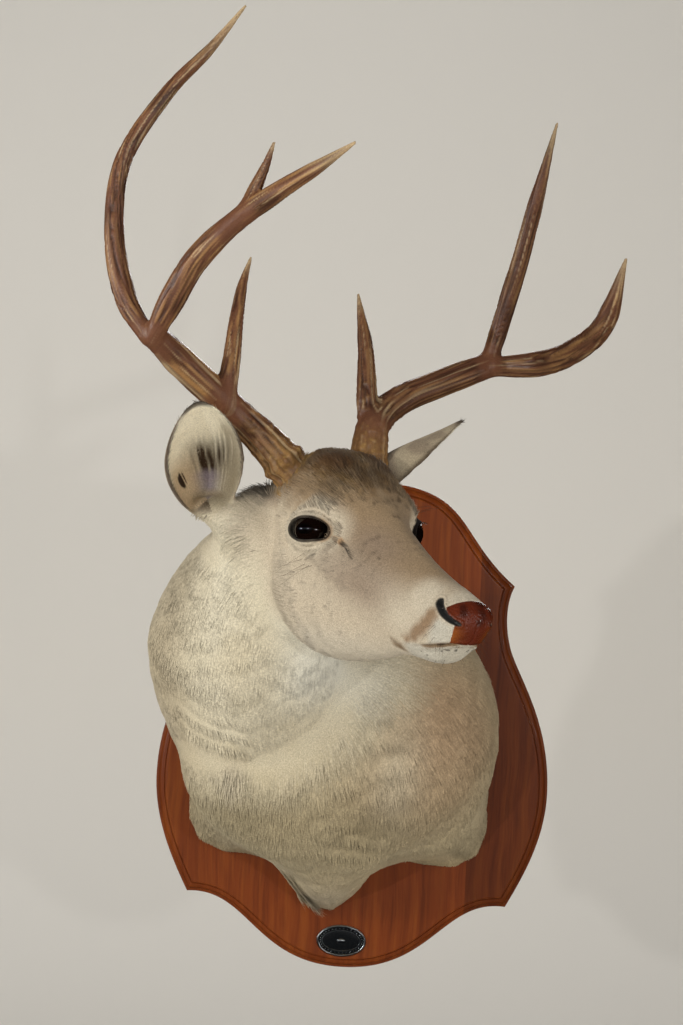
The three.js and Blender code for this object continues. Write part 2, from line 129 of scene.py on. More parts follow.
def panel_outline(steps):
    half = []
    start = np.array(PANEL_TOP)
    share = (np.arange(steps) / steps)[:, None]
    for first, second, end in np.array(PANEL_CURVES):
        rest = 1 - share
        half.append(rest ** 3 * start + 3 * share * rest ** 2 * first + 3 * share ** 2 * rest * second
                    + share ** 3 * end)
        start = end
    right = np.concatenate(half)
    return np.concatenate([right, [start], (right[1:] * (-1, 1))[::-1]])


def inset(outline, by, corner_sharp=1.9, corner_reach=14):
    """The outline moved inwards, its corners kept sharp; places that would cross a corner stop at it."""
    ahead = np.roll(outline, -1, axis=0) - outline
    ahead /= np.linalg.norm(ahead, axis=1)[:, None]
    inward = np.c_[ahead[:, 1], -ahead[:, 0]]
    before = np.roll(inward, 1, axis=0)
    corner = 1 + (inward * before).sum(axis=1)
    moved = outline + by * (inward + before) / corner[:, None]
    for at in np.flatnonzero(corner < corner_sharp):
        along = inward[at] - before[at]
        for step in (-1, 1):
            for far in range(1, corner_reach):
                near = (at + step * far) % len(outline)
                if ((outline[near] - outline[at]) @ along) * ((moved[near] - moved[at]) @ along) < 0:
                    moved[near] = moved[at]
    return moved


def stacked(rings, start=0):
    """Quads between rings that hold the same number of points."""
    count = len(rings[0])
    near = np.arange(count)
    far = (near + 1) % count
    return [(start + r * count + a, start + r * count + b, start + (r + 1) * count + b,
             start + (r + 1) * count + a) for r in range(len(rings) - 1) for a, b in zip(near, far)]


def panel_wood():
    material, shader = new_material("panel_wood", roughness=0.45, coat_weight=0.1, coat_roughness=0.12,
                                    specular_ior_level=0.25)
    tree = material.node_tree
    place = add_node(tree, "TexCoord").outputs["Object"]
    across = add_node(tree, "SeparateXYZ", {"Vector": place}).outputs["X"]
    plank = add_node(tree, "MapRange", {"Value": across, "From Min": -PANEL_BREADTH / 2 * MM,
                                        "From Max": PANEL_BREADTH / 2 * MM}).outputs["Result"]
    tone = colour_ramp(tree, plank, [(at, (shade,) * 3) for at, shade in PLANK_SEAMS], "CONSTANT")
    bend = add_node(tree, "TexNoise", {"Vector": place, "Scale": 5.0, "Detail": 2.0}).outputs["Color"]
    warped = add_node(tree, "VectorMath", {0: bend, 1: (0.03, 0, 0)}, operation="MULTIPLY").outputs["Vector"]
    moved = add_node(tree, "VectorMath", {0: place, 1: warped}, operation="ADD").outputs["Vector"]
    stretched = add_node(tree, "Mapping", {"Vector": moved, "Scale": (1, 1, 0.045)}).outputs["Vector"]
    grain = add_node(tree, "TexNoise", {"Vector": stretched, "Scale": 90.0, "Detail": 6.0,
                                        "Roughness": 0.65}).outputs["Fac"]
    pores = add_node(tree, "TexNoise", {"Vector": stretched, "Scale": 420.0, "Detail": 2.0}).outputs["Fac"]
    wood = colour_ramp(tree, grain, [(at, paint(stain)) for at, stain in PANEL_STAIN])
    pore = colour_ramp(tree, pores, [(0.36, (0.8,) * 3), (0.5, (1, 1, 1))])
    darkened = add_node(tree, "Mix", {"Factor": 1.0, 6: wood, 7: tone}, data_type="RGBA",
                       blend_type="MULTIPLY").outputs[2]
    finished = add_node(tree, "Mix", {"Factor": 0.7, 6: darkened, 7: pore}, data_type="RGBA",
                        blend_type="MULTIPLY").outputs[2]
    tree.links.new(finished, shader.inputs["Base Color"])
    bump = add_node(tree, "Bump", {"Strength": 0.12, "Distance": 0.0008, "Height": pores})
    tree.links.new(bump.outputs["Normal"], shader.inputs["Normal"])
    return material


outline = panel_outline(40)
rings = [np.c_[edge[:, 0], np.full(len(edge), -off), edge[:, 1]]
         for edge, off in ((inset(outline, by), off) for by, off in PANEL_EDGE)]
count = len(outline)
board_back = tuple(range(count))[::-1]
board_front = tuple(range(count * (len(rings) - 1), count * len(rings)))
board_faces = stacked(rings) + [board_back, board_front]
board = add_piece("shield_board", np.concatenate(rings), board_faces, panel_wood())
board.data.set_sharp_from_angle(angle=np.radians(32))
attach(board, "root")
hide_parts("panel")

# ---------------------------------------------------------------- badge
# A small stamped oval on the foot of the board: a bright metal rim and inner line round a black
# enamelled field, with a ring of plain beads between them and a plain boss. It is pinned flat.

BADGE_AT = (-3, -245)
BADGE_HALF = (28, 18)
BADGE_PROFILE = (                         # how far in from the edge, how far off the board, enamelled
    (0, 0.1, False), (0, 1.2, False), (0.5, 1.9, False), (1.3, 2.2, False), (2.1, 2, False),
    (2.5, 1.3, True), (5.9, 1.3, False), (6.2, 1.7, False), (6.8, 1.7, False), (7.1, 1.3, True),
    (9.5, 1.6, True), (12, 1.8, True), (14.9, 1.9, True),
)
BADGE_BEADS = 34
BEAD = (0.75, 0.6)                        # half across, how high
BEAD_INSET, BEAD_FOOT = 4.2, 1.3          # how far in from the edge, how far off the board
BOSS = (5.2, 2.6, 1.0)                    # half across, half up, how high
BOSS_FOOT = 1.8


def oval_ring(by, off, sides=96):
    turn = np.arange(sides) / sides * 2 * np.pi
    return np.c_[BADGE_AT[0] + (BADGE_HALF[0] - by) * np.cos(turn), np.full(sides, -PANEL_FRONT - off),
                 BADGE_AT[1] + (BADGE_HALF[1] - by) * np.sin(turn)]


def dome(at, half, off, high, sides=12, steps=4):
    """A low rounded stud standing on the badge."""
    turn = np.arange(sides) / sides * 2 * np.pi
    rise = np.linspace(0, np.pi / 2 * 0.98, steps)
    return [np.c_[at[0] + half[0] * np.cos(r) * np.cos(turn),
                  np.full(sides, -PANEL_FRONT - off - high * np.sin(r)),
                  at[1] + half[1] * np.cos(r) * np.sin(turn)] for r in rise]


bright_metal, _ = new_material("badge_metal", base_color=(*paint("#a9adb0"), 1), metallic=1.0, roughness=0.28)
black_enamel, _ = new_material("badge_enamel", base_color=(*paint("#101214"), 1), roughness=0.22,
                               coat_weight=0.6, coat_roughness=0.1)
badge_rings = [oval_ring(by, off) for by, off, _ in BADGE_PROFILE]
badge_points = list(badge_rings)
badge_faces = [tuple(int(i) for i in face[::-1]) for face in stacked(badge_rings)]
enamelled = [BADGE_PROFILE[r][2] for r in range(len(badge_rings) - 1) for _ in badge_rings[0]]
sides = len(badge_rings[0])
badge_back = tuple(range(sides))
badge_front = tuple(range(sides * (len(badge_rings) - 1), sides * len(badge_rings)))[::-1]
badge_faces += [badge_back, badge_front]
enamelled += [False, True]
bead_ring = np.array(BADGE_HALF) - BEAD_INSET
studs = [(np.array(BADGE_AT) + bead_ring * (np.cos(turn), np.sin(turn)), (BEAD[0],) * 2, BEAD_FOOT, BEAD[1])
         for turn in np.arange(BADGE_BEADS) / BADGE_BEADS * 2 * np.pi]
studs.append((BADGE_AT, BOSS[:2], BOSS_FOOT, BOSS[2]))
for at, half, off, high in studs:
    start = sum(len(ring) for ring in badge_points)
    stud = dome(at, half, off, high)
    badge_points += stud
    stud_faces = [tuple(int(i) for i in face[::-1]) for face in stacked(stud, start)]
    top = start + len(stud[0]) * (len(stud) - 1)
    badge_faces += stud_faces + [tuple(range(top, top + len(stud[0])))[::-1]]
    enamelled += [False] * (len(stud_faces) + 1)
badge = add_piece("oval_badge", np.concatenate(badge_points), badge_faces, bright_metal, black_enamel)
badge.data.polygons.foreach_set("material_index", np.array(enamelled, np.int32))
badge.data.set_sharp_from_angle(angle=np.radians(50))
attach(badge, "root")
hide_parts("badge")

# ---------------------------------------------------------------- skin
# The tanned hide is drawn over a foam form and tucked in round the eyes, nostrils and lips. It is one
# piece from the nose to the hem, ears and all, and lies inside the solids by the depth of its coat.

FLESH = ("head", "lower_jaw", "nose_pad", "neck", "shoulder_left", "shoulder_right", "chest")
HEAD_AT = np.array([-4, -412, 223])
HEAD_TURN, HEAD_NOD = np.radians(34 - 90), np.radians(22)
HEAD_EDGE = (np.array([-42, 0, -90]), np.array([0.76, 0, 0.65]))
NECK_EDGE = (np.array([-95, -190, 40]), np.array([-0.25, -0.65, 0.72]))
EYE_AT = np.array([-10.7, 51.4, -3.7])    # in the head's frame, the left one
EYE_RADIUS = 17
EARS = {                                  # where each leaves the skull, its tip, the way its cup opens,
    "right": (np.array([-148, -366, 227]), np.array([-160, -457, 332]), np.array([0.33, -0.76, -0.56]),
              2.3, 1.0),                  # and the cup's half turn at its root and at its tip
    "left": (np.array([12, -312, 252]), np.array([84, -320, 337]), np.array([0.73, 0, -0.68]),
             1.95, 0.3),
}
EAR_HALF, EAR_THICK = 38, 4.4
PEDICLES = ((-70, -367, 270), (-4, -332, 258))
PEDICLE_RADIUS = 21
EAR_FLOORS = (((-151, -358, 236), 16), ((-160, -360, 238), 11))    # balls that fill the right ear's foot
BODY_VOXEL = 2.2
JOIN = 0.5                                # the solids are swelled by this to close the cuts between them
FACE_DEPTH, BODY_DEPTH, EAR_DEPTH = 1.7, 3.0, 0.5     # how far the skin lies inside the solids


def smoothstep(low, high, value):
    share = np.clip((value - low) / (high - low), 0, 1)
    return share * share * (3 - 2 * share)


def unit(vectors):
    return vectors / np.maximum(np.linalg.norm(vectors, axis=-1, keepdims=True), 1e-9)


def head_axes():
    """The head's forward, left and up, as columns."""
    turn_sin, turn_cos = np.sin(HEAD_TURN), np.cos(HEAD_TURN)
    nod_sin, nod_cos = np.sin(HEAD_NOD), np.cos(HEAD_NOD)
    turned = np.array([[turn_cos, -turn_sin, 0], [turn_sin, turn_cos, 0], [0, 0, 1]])
    nodded = np.array([[nod_cos, 0, nod_sin], [0, 1, 0], [-nod_sin, 0, nod_cos]])
    return turned @ nodded


HEAD_AXES = head_axes()


def in_head(points):
    """Points in the head's frame: forward from between the eyes, to its left, and up."""
    return (points - HEAD_AT) @ HEAD_AXES


def from_head(points):
    return points @ HEAD_AXES.T + HEAD_AT


def past_plane(points, plane):
    through, facing = plane
    return (points - through) @ unit(facing)


def noise(points, size, seed=0):
    """Smooth noise from -1 to 1 with lumps about size across."""
    place = np.asarray(points) / size
    cell = np.floor(place).astype(np.int64)
    part = place - cell
    part = part * part * (3 - 2 * part)
    total = np.zeros(len(place))
    for corner in np.ndindex(2, 2, 2):
        at = cell + corner
        mixed = (at[:, 0] * 73856093) ^ (at[:, 1] * 19349663) ^ (at[:, 2] * 83492791) ^ (seed * 7919)
        mixed = ((mixed ^ (mixed >> 13)) * 1274126177) & 0xFFFFFFFF
        mixed ^= mixed >> 16
        share = np.prod(np.where(corner, part, 1 - part), axis=1)
        total += share * ((mixed & 0xFFFF) / 32767.5 - 1)
    return total


def arrays_of(obj):
    """A solid's points and triangles, its doubled points joined, swelled to close the cuts."""
    work = bmesh.new()
    work.from_mesh(obj.data)
    bmesh.ops.remove_doubles(work, verts=work.verts, dist=1e-6)
    bmesh.ops.triangulate(work, faces=work.faces)
    work.normal_update()
    points = np.array([v.co + v.normal * JOIN * MM for v in work.verts]) / MM
    faces = np.array([[v.index for v in f.verts] for f in work.faces])
    work.free()
    return points, faces


def ball(at, radius, sides=32):
    work = bmesh.new()
    bmesh.ops.create_uvsphere(work, u_segments=sides, v_segments=sides // 2, radius=radius)
    bmesh.ops.triangulate(work, faces=work.faces)
    points = np.array([v.co for v in work.verts]) + at
    faces = np.array([[v.index for v in f.verts] for f in work.faces])
    work.free()
    return points, faces


def ear_frame(side):
    root, tip, opens, _, _ = EARS[side]
    along = unit(tip - root)
    front = unit(opens - along * (opens @ along))
    return root, along, np.linalg.norm(tip - root), front, np.cross(along, front)


def ear_cup(share, side):
    """The radius of the ear's cup and the half turn it wraps, at shares of its length."""
    width = EAR_HALF * np.maximum(np.sin(np.pi * np.clip(0.06 + 0.94 * share, 0, 1)), 0) ** 0.55
    wrapped, opened = EARS[side][3:]
    wrap = wrapped + (opened - wrapped) * share
    return width / np.sin(np.minimum(wrap, np.pi / 2)), wrap


def ear_shell(side, rings=48, steps=25):
    """The ear as a closed cup: along its outside, then back along its inside."""
    root, along, length, front, across = ear_frame(side)
    points = []
    for share in np.linspace(0, 0.985, rings):
        radius, wrap = ear_cup(share, side)
        turn = wrap * np.linspace(-1, 1, steps)[:, None]
        middle = root + along * length * share + front * radius * np.cos(wrap)
        outer, inner = radius - (5 - EAR_THICK) / 2, max(radius - (5 + EAR_THICK) / 2, 0.4)
        points.append(middle + outer * (across * np.sin(turn) - front * np.cos(turn)))
        points.append((middle + inner * (across * np.sin(turn) - front * np.cos(turn)))[::-1])
    size = 2 * steps
    faces = []
    for quad in stacked([range(size)] * rings):
        faces += [(quad[0], quad[1], quad[2]), (quad[0], quad[2], quad[3])]
    last = size * (rings - 1)
    for i in range(steps - 1):
        near, far = size - 1 - i, size - 2 - i
        faces += [(far, i + 1, i), (near, far, i)]
        faces += [(last + i, last + i + 1, last + far), (last + i, last + far, last + near)]
    return np.concatenate(points), np.array(faces)


def joined(pieces):
    starts = np.cumsum([0] + [len(points) for points, _ in pieces[:-1]])
    return (np.concatenate([points for points, _ in pieces]),
            np.concatenate([faces + start for (_, faces), start in zip(pieces, starts)]))


def remeshed(points, faces, voxel):
    """One even skin of quads round overlapping closed bodies."""
    work = add_piece("remesh", points, faces)
    change = work.modifiers.new("remesh", "REMESH")
    change.mode = "VOXEL"
    change.voxel_size = voxel * MM
    done = work.evaluated_get(bpy.context.evaluated_depsgraph_get()).to_mesh()
    result = mesh_points(done), mesh_corners(done).reshape(-1, 4)
    bpy.data.objects.remove(work)
    return result


def mesh_points(mesh):
    points = np.empty(len(mesh.vertices) * 3, np.float32)
    mesh.vertices.foreach_get("co", points)
    return points.reshape(-1, 3).astype(float) / MM


def mesh_corners(mesh):
    corners = np.empty(len(mesh.loops), np.int32)
    mesh.loops.foreach_get("vertex_index", corners)
    return corners


def edges_of(faces):
    pairs = np.concatenate([faces[:, [i, (i + 1) % faces.shape[1]]] for i in range(faces.shape[1])])
    return np.unique(np.sort(pairs, axis=1), axis=0)


def relax(points, edges, weight, rounds):
    """Moves each point towards the middle of its neighbours, by its own weight."""
    size = len(points)
    joins = np.maximum(np.bincount(edges.ravel(), minlength=size), 1)[:, None]
    near, far = edges[:, 0], edges[:, 1]
    for _ in range(rounds):
        middle = np.stack([np.bincount(near, points[far, axis], size)
                           + np.bincount(far, points[near, axis], size) for axis in range(3)], axis=1) / joins
        points = points + weight[:, None] * (middle - points)
    return points


def normals_of(points, faces):
    a, b, c, d = (points[faces[:, i]] for i in (0, 1, 2, -1))
    facing = np.cross(c - a, d - b) if faces.shape[1] == 4 else np.cross(b - a, c - a)
    sides, size = faces.shape[1], len(points)
    return unit(np.stack([sum(np.bincount(faces[:, i], facing[:, axis], size) for i in range(sides))
                          for axis in range(3)], axis=1))


def ear_place(points, side):
    """Each point's share along an ear, its way out from the middle of the cup, and how far out it is."""
    root, along, length, front, _ = ear_frame(side)
    share = (points - root) @ along / length
    radius, wrap = ear_cup(np.clip(share, 0, 1), side)
    middle = root + along * length * share[:, None] + front * (radius * np.cos(wrap))[:, None]
    out = points - middle
    return share, unit(out), np.linalg.norm(out, axis=1) / np.maximum(radius, 1)


def ear_weight(points, side):
    share, _, out = ear_place(points, side)
    wall = smoothstep(0.62, 0.72, out) * smoothstep(1.3, 1.16, out) * smoothstep(0.0, 0.16, share)
    floor = smoothstep(0.95, 0.8, out) * smoothstep(0.03, 0.1, share)
    return np.maximum(wall, floor) * (share < 1.08)


def thin_ear(points, side):
    """1 on the thin wall of an ear right down to its root, so that smoothing spares it."""
    share, _, out = ear_place(points, side)
    wall = smoothstep(0.5, 0.66, out) * smoothstep(1.35, 1.2, out)
    return wall * smoothstep(-0.04, 0.04, share) * (share < 1.08)


def regions(points):
    """How much each point belongs to the head and to the trunk, and to either ear."""
    ears = {side: ear_weight(points, side) for side in EARS}
    head = smoothstep(-28, 28, past_plane(points, HEAD_EDGE_WORLD))
    trunk = smoothstep(22, -22, past_plane(points, NECK_EDGE)) * (1 - head)
    return head, trunk, ears


HEAD_EDGE_WORLD = (from_head(HEAD_EDGE[0]), HEAD_EDGE[1] @ HEAD_AXES.T)


def subdivided(points, faces, chosen):
    """The faces that touch chosen points cut in four; everything comes back as triangles and quads."""
    work = bmesh.new()
    for point in points:
        work.verts.new(point)
    work.verts.ensure_lookup_table()
    for face in faces:
        work.faces.new([work.verts[i] for i in face if i >= 0])
    work.verts.index_update()
    cut = [e for e in work.edges if chosen[e.verts[0].index] and chosen[e.verts[1].index]]
    bmesh.ops.subdivide_edges(work, edges=cut, cuts=1, use_grid_fill=True)
    bmesh.ops.triangulate(work, faces=[f for f in work.faces if len(f.verts) > 4])
    work.verts.index_update()
    points = np.array([v.co for v in work.verts])
    faces = [[v.index for v in f.verts] for f in work.faces]
    work.free()
    return points, np.array([f if len(f) == 4 else f + [-1] for f in faces])


def in_triangles(faces):
    """Quads and padded triangles as triangles."""
    quads = faces[faces[:, 3] >= 0]
    return np.concatenate([faces[faces[:, 3] < 0][:, :3], quads[:, [0, 1, 2]], quads[:, [0, 2, 3]]])


# The eye lies behind an almond opening, longer than it is high, its front corner drawn down into the
# tear duct. Sizes are measured in the plane that the eye looks out of.
EYE_OUT = unit(np.array([0.42, 0.88, 0.2]))
EYE_FORWARD = unit(np.array([0.801, -0.467, 0.373]))
EYE_UP = np.cross(EYE_FORWARD, EYE_OUT)
OPENING = (19.8, 10.0)                    # half length and half height
OPENING_SQUARENESS = 2.25
LID_THICK = 1.5
EYE_SUNK = 2.4                            # how far the skin behind the opening lies under the glass
TEAR_DUCT = np.array([(15, 49, 4), (22, 44, 1), (29, 40, -2), (37, 40, -5.5), (44, 40, -8)])
NOSTRIL = np.array([(150, 23, 5), (155, 25, 3), (162, 26, 0.5), (169, 25.5, -1.5), (175, 22, -3),
                    (180, 16.5, -3.5)])
MOUTH = np.array([(104, 26, -56), (118, 25, -53), (130, 24, -49.5), (148, 26, -40), (163, 23, -32),
                  (172, 17, -26.5), (178, 10, -23.5), (181, 0, -22.5)])
NECK_CREASE = np.array([(-178, -266, 30), (-156, -278, 15), (-128, -287, 8), (-112, -282, 2)])
FACE_FORMS = (                            # where on the face, how wide, how far out
    ((30, 50, -24), (30, 12, 7), 1.6), ((20, 52, -40), (30, 12, 8), -1.1), ((24, 45, 0), (9, 9, 8), -1.6),
    ((-14, 58, -72), (30, 20, 26), 1.6), ((146, 26, 0), (7, 8, 9), -1.6), ((150, 27, -28), (12, 9, 8), 1.1),
    ((106, 27, -57), (8, 8, 6), -1.6), ((154, 18, -48), (14, 12, 7), 0.9), ((-4, 50, 22), (20, 10, 6), 1.8),
    ((24, 0, 44), (34, 11, 14), -1.8), ((56, 0, 28), (22, 14, 10), -1.2), ((84, 30, -2), (34, 10, 9), -1.2),
    ((-40, 24, 56), (16, 14, 12), 2.4), ((-22, 0, 56), (22, 12, 12), -2.0),
)
FAR_HOLLOW = ((17, 39, 14), (13, 13, 11), -4.6)       # before the left eye alone
CHEST_FOLD = np.array([(-18, -222, -98), (11, -204, -108), (36, -180, -114)])
THROAT_LINE = np.array([(-2, -262, 60), (-10, -258, 34)])
HEM_SEAM = np.array([(-84, -150, -140), (-66, -90, -168), (-48, -40, -196), (-40, -24, -210)])


def eye_plane(mirrored):
    """Along, above and out from the eyeball's middle, and the distance outside the eye's opening."""
    from_eye = mirrored - EYE_AT
    along, above, out = from_eye @ EYE_FORWARD, from_eye @ EYE_UP, from_eye @ EYE_OUT
    drooped = above + 1.8 * smoothstep(6, 22, along)
    size = ((np.abs(along) / OPENING[0]) ** OPENING_SQUARENESS
            + (np.abs(drooped) / OPENING[1]) ** OPENING_SQUARENESS) ** (1 / OPENING_SQUARENESS)
    reach = np.hypot(along, drooped)
    near = (np.abs(along) < 48) & (np.abs(above) < 40) & (out > -14)
    return along, above, out, np.where(near, reach - reach / np.maximum(size, 1e-3), 99.0)


def line_distance(points, line):
    """The distance to a line through a few places, and the share of the line at the nearest of them."""
    best = np.full(len(points), 1e9)
    share = np.zeros(len(points))
    for i, (start, end) in enumerate(zip(line[:-1], line[1:])):
        step = end - start
        along = np.clip((points - start) @ step / (step @ step), 0, 1)
        away = np.linalg.norm(points - start - along[:, None] * step, axis=1)
        closer = away < best
        best[closer] = away[closer]
        share[closer] = (i + along[closer]) / (len(line) - 1)
    return best, share


def mirrored_head(points):
    head = in_head(points)
    return np.c_[head[:, 0], np.abs(head[:, 1]), head[:, 2]]


def nostril_width(share):
    """Half the nostril's width, at shares of its length from back to front."""
    return 5.0 - 2.8 * share


def blob(points, middle, sizes):
    """1 in the middle of a soft-edged oval and 0 well outside it."""
    return np.exp(-(((points - np.array(middle)) / np.array(sizes)) ** 2).sum(axis=1))


def pad_share(mirrored):
    """How much each point is bare nose: the front of the muzzle between the nostrils, down to the lip."""
    x, y, z = mirrored.T
    side = smoothstep(9, 21, y)
    back = 166 - 4 * (y / 22) ** 2 + 14 * side * smoothstep(5, -6, z)
    return smoothstep(-0.8, 0.8, x - back) * smoothstep(-24, -22.4, z) * smoothstep(24, 22.5, y)


def sculpt_eyes(head):
    mirrored = np.c_[head[:, 0], np.abs(head[:, 1]), head[:, 2]]
    along, above, out, off = eye_plane(mirrored)
    reach = np.hypot(along, above)
    lid = EYE_RADIUS + LID_THICK
    inner = np.minimum(reach, 0.84 * lid)
    lid_out = np.sqrt(lid ** 2 - inner ** 2) - 0.55 * (reach - inner)
    settled = lid_out + (out - lid_out) * smoothstep(2.5, 15, off)
    upper = smoothstep(-3, 3, above)
    settled += 0.5 * np.exp(-((off - 1.3) / 1.0) ** 2)
    settled -= (0.6 + 0.7 * upper) * np.exp(-((off - 5.6 - upper) / 1.5) ** 2)
    ball_out = np.sqrt(EYE_RADIUS ** 2 - np.minimum(reach, 16) ** 2)
    sunk = np.minimum(ball_out, lid_out) - EYE_SUNK
    settled += (sunk - settled) * smoothstep(0.1, -0.9, off)
    change = np.where(off < 15, settled - out, 0)
    own_side = np.c_[np.ones(len(head)), np.sign(head[:, 1]), np.ones(len(head))]
    return head + (change[:, None] * EYE_OUT) * own_side


def sculpt_face(points, normals):
    """Nostrils, lips, tear ducts and the edge of the nose pad, cut or raised along the skin's normals."""
    mirrored = mirrored_head(points)
    change = 0.25 * noise(points, 5, 5) + 0.35 * noise(points, 12, 6)
    for middle, sizes, out in FACE_FORMS:
        change += out * blob(mirrored, middle, sizes)
    change += FAR_HOLLOW[2] * blob(in_head(points), *FAR_HOLLOW[:2])
    change *= smoothstep(1, 5, eye_plane(mirrored)[3]) * (in_head(points)[:, 0] > -60)
    away, share = line_distance(mirrored, NOSTRIL)
    width = nostril_width(share)
    change -= (7 - 4.5 * share) * smoothstep(1.15, 0.35, away / width)
    change += 0.9 * np.exp(-((away - width * 1.45) / 1.2) ** 2)
    away, share = line_distance(mirrored, MOUTH)
    change -= 2.6 * np.exp(-(away / 1.2) ** 2) * smoothstep(0, 0.12, share)
    change += 0.8 * np.exp(-((away - 3.4) / 1.8) ** 2) * smoothstep(0, 0.3, share)
    away, share = line_distance(mirrored, TEAR_DUCT)
    change -= (2.0 - 1.0 * share) * np.exp(-(away / (1.9 - 0.7 * share)) ** 2)
    pad = pad_share(mirrored)
    change += 0.7 * pad - 0.9 * np.exp(-((pad - 0.45) / 0.2) ** 2) * (pad > 0.02) * (mirrored[:, 0] > 120)
    middle = np.exp(-(mirrored[:, 1] / 1.1) ** 2) * pad * smoothstep(4, -6, mirrored[:, 2])
    change -= 0.9 * middle
    return points + normals * change[:, None]


def sculpt_body(points, normals):
    """Folds that the hide has taken on the neck and chest, and slight unevenness all over."""
    change = 1.1 * noise(points, 46, 3) + 0.5 * noise(points, 17, 4)
    for line, deep, wide in ((NECK_CREASE, 3.8, 6), (CHEST_FOLD, 5.5, 7), (HEM_SEAM, 5, 5)):
        away, share = line_distance(points, line)
        ends = smoothstep(0, 0.2, share) * smoothstep(1, 0.8, share) * 0.8 + 0.2
        swollen = 0.45 * deep * np.exp(-((away - 2 * wide) / wide) ** 2)
        change += ends * (-deep * np.exp(-(away / wide) ** 2) + swollen)
    return points + normals * change[:, None]


def make_skin():
    pieces = [arrays_of(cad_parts[name]) for name in FLESH]
    pieces += [ear_shell(side) for side in EARS]
    pieces += [ball(np.array(at), PEDICLE_RADIUS) for at in PEDICLES]
    pieces += [ball(np.array(at), radius) for at, radius in EAR_FLOORS]
    pieces += [ball(from_head(EYE_AT * (1, side, 1)), EYE_RADIUS + LID_THICK) for side in (-1, 1)]
    points, faces = remeshed(*joined(pieces), BODY_VOXEL)
    edges = edges_of(faces)
    head, _, _ = regions(points)
    thin = np.maximum(thin_ear(points, "left"), thin_ear(points, "right"))
    hem = smoothstep(-34, -24, points[:, 1])
    points = relax(points, edges, 0.6 * (1 - thin) * (1 - hem * 0.9) * (1 - 0.55 * head), 90)
    points = relax(points, edges, 0.5 * (1 - hem), 5)
    head, _, ears = regions(points)
    ear = np.maximum(ears["left"], ears["right"])
    normals = normals_of(points, faces)
    face = in_head(points)[:, 0]
    depth = BODY_DEPTH + (FACE_DEPTH - BODY_DEPTH) * smoothstep(-75, -20, face) * head
    depth -= (FACE_DEPTH - 1.0) * smoothstep(70, 150, face) * head
    depth += (EAR_DEPTH - depth) * ear
    inward = normals * depth[:, None]
    inward[:, 1] *= smoothstep(-21.5, -30, points[:, 1])
    points = relax(points - inward, edges, 0.4 * (1 - hem), 4)
    points = sculpt_body(points, normals * ((1 - head) * (1 - ear) * (1 - hem))[:, None])

    placed = in_head(points)
    points, faces = subdivided(points, faces, (placed[:, 0] > -50) & (head > 0.9) | (ear > 0.3))
    flat = in_triangles(faces)
    edges = edges_of(flat)
    face_weight = smoothstep(-60, -40, in_head(points)[:, 0]) * 0.5
    points = relax(points, edges, face_weight, 3)
    mirrored = mirrored_head(points)
    fine = ((eye_plane(mirrored)[3] < 9) | (line_distance(mirrored, NOSTRIL)[0] < 11)
            | (line_distance(mirrored, MOUTH)[0] < 5) | (line_distance(mirrored, TEAR_DUCT)[0] < 5)
            | (pad_share(mirrored) > 0.01) & (mirrored[:, 0] > 120))
    points, faces = subdivided(points, faces, fine)
    flat = in_triangles(faces)
    points = from_head(sculpt_eyes(in_head(points)))
    unmarked = points
    points = sculpt_face(points, normals_of(points, flat))
    edges = edges_of(flat)
    points = relax(points, edges, np.full(len(points), 0.25) * (in_head(points)[:, 0] > -60), 2)
    return points, unmarked, flat


# The hide's markings: grey-brown face and crown, pale neck, cheeks and rings round the eyes, white
# muzzle band and chin, ochre patch behind the nostril, ears pale inside and dark round the rim.
# Painted shade is laid over them too: dark lines in the creases and folds of the neck, chest and hem,
# greyish shadow on the chest, shade on one inner side of each ear cup, and a dark patch between the
# right ear and its antler.
FACE_BROWN, FACE_GREY, CROWN_DARK, CROWN_GOLD = "#846d50", "#857361", "#4b2e15", "#96753f"
CHEEK, CREAM, WHITE = "#bcae97", "#c1b59f", "#b5afa0"
OCHRE, SPOT_BROWN, LID_BLACK, TEAR_TAN, SLATE = "#7d5f41", "#6d5538", "#140c08", "#987652", "#232220"
# The sixth colour here is painted shadow for the chest, not a hair colour.
NECK_PALE, NECK_WARM, THROAT, CHEST_TAN, CHEST_PINK, CHEST_PAINTED_SHADE, HEM_TAN = (
    "#cfc6ae", "#c4b696", "#e0ddce", "#a29372", "#b48d6c", "#82765a", "#ac9769")
EAR_BACK, EAR_RIM, EAR_INSIDE, EAR_DARK, EAR_CANAL, EAR_OCHRE = (
    "#8f806b", "#35241a", "#f2ead2", "#3a2a1c", "#8b8088", "#8f7250")
# The second colour here is painted shade, laid on one inner side of the ear cups.
EAR_TAN, EAR_PAINTED_SHADE = "#b9966e", "#84755c"
# The dark of the shade painted into the hide's creases and folds.
FOLD_PAINTED_SHADE = "#3d3020"
OCHRE_PATCH = np.array([(152, 29, -6), (148, 30, -22), (138, 28, -36), (128, 26, -44)])
PAD_RED, PAD_DARK, PAD_ORANGE = "#5e2410", "#2a0f07", "#96520f"


def tint(colours, code, share):
    return colours + (paint(code) - colours) * np.clip(share, 0, 1)[:, None]


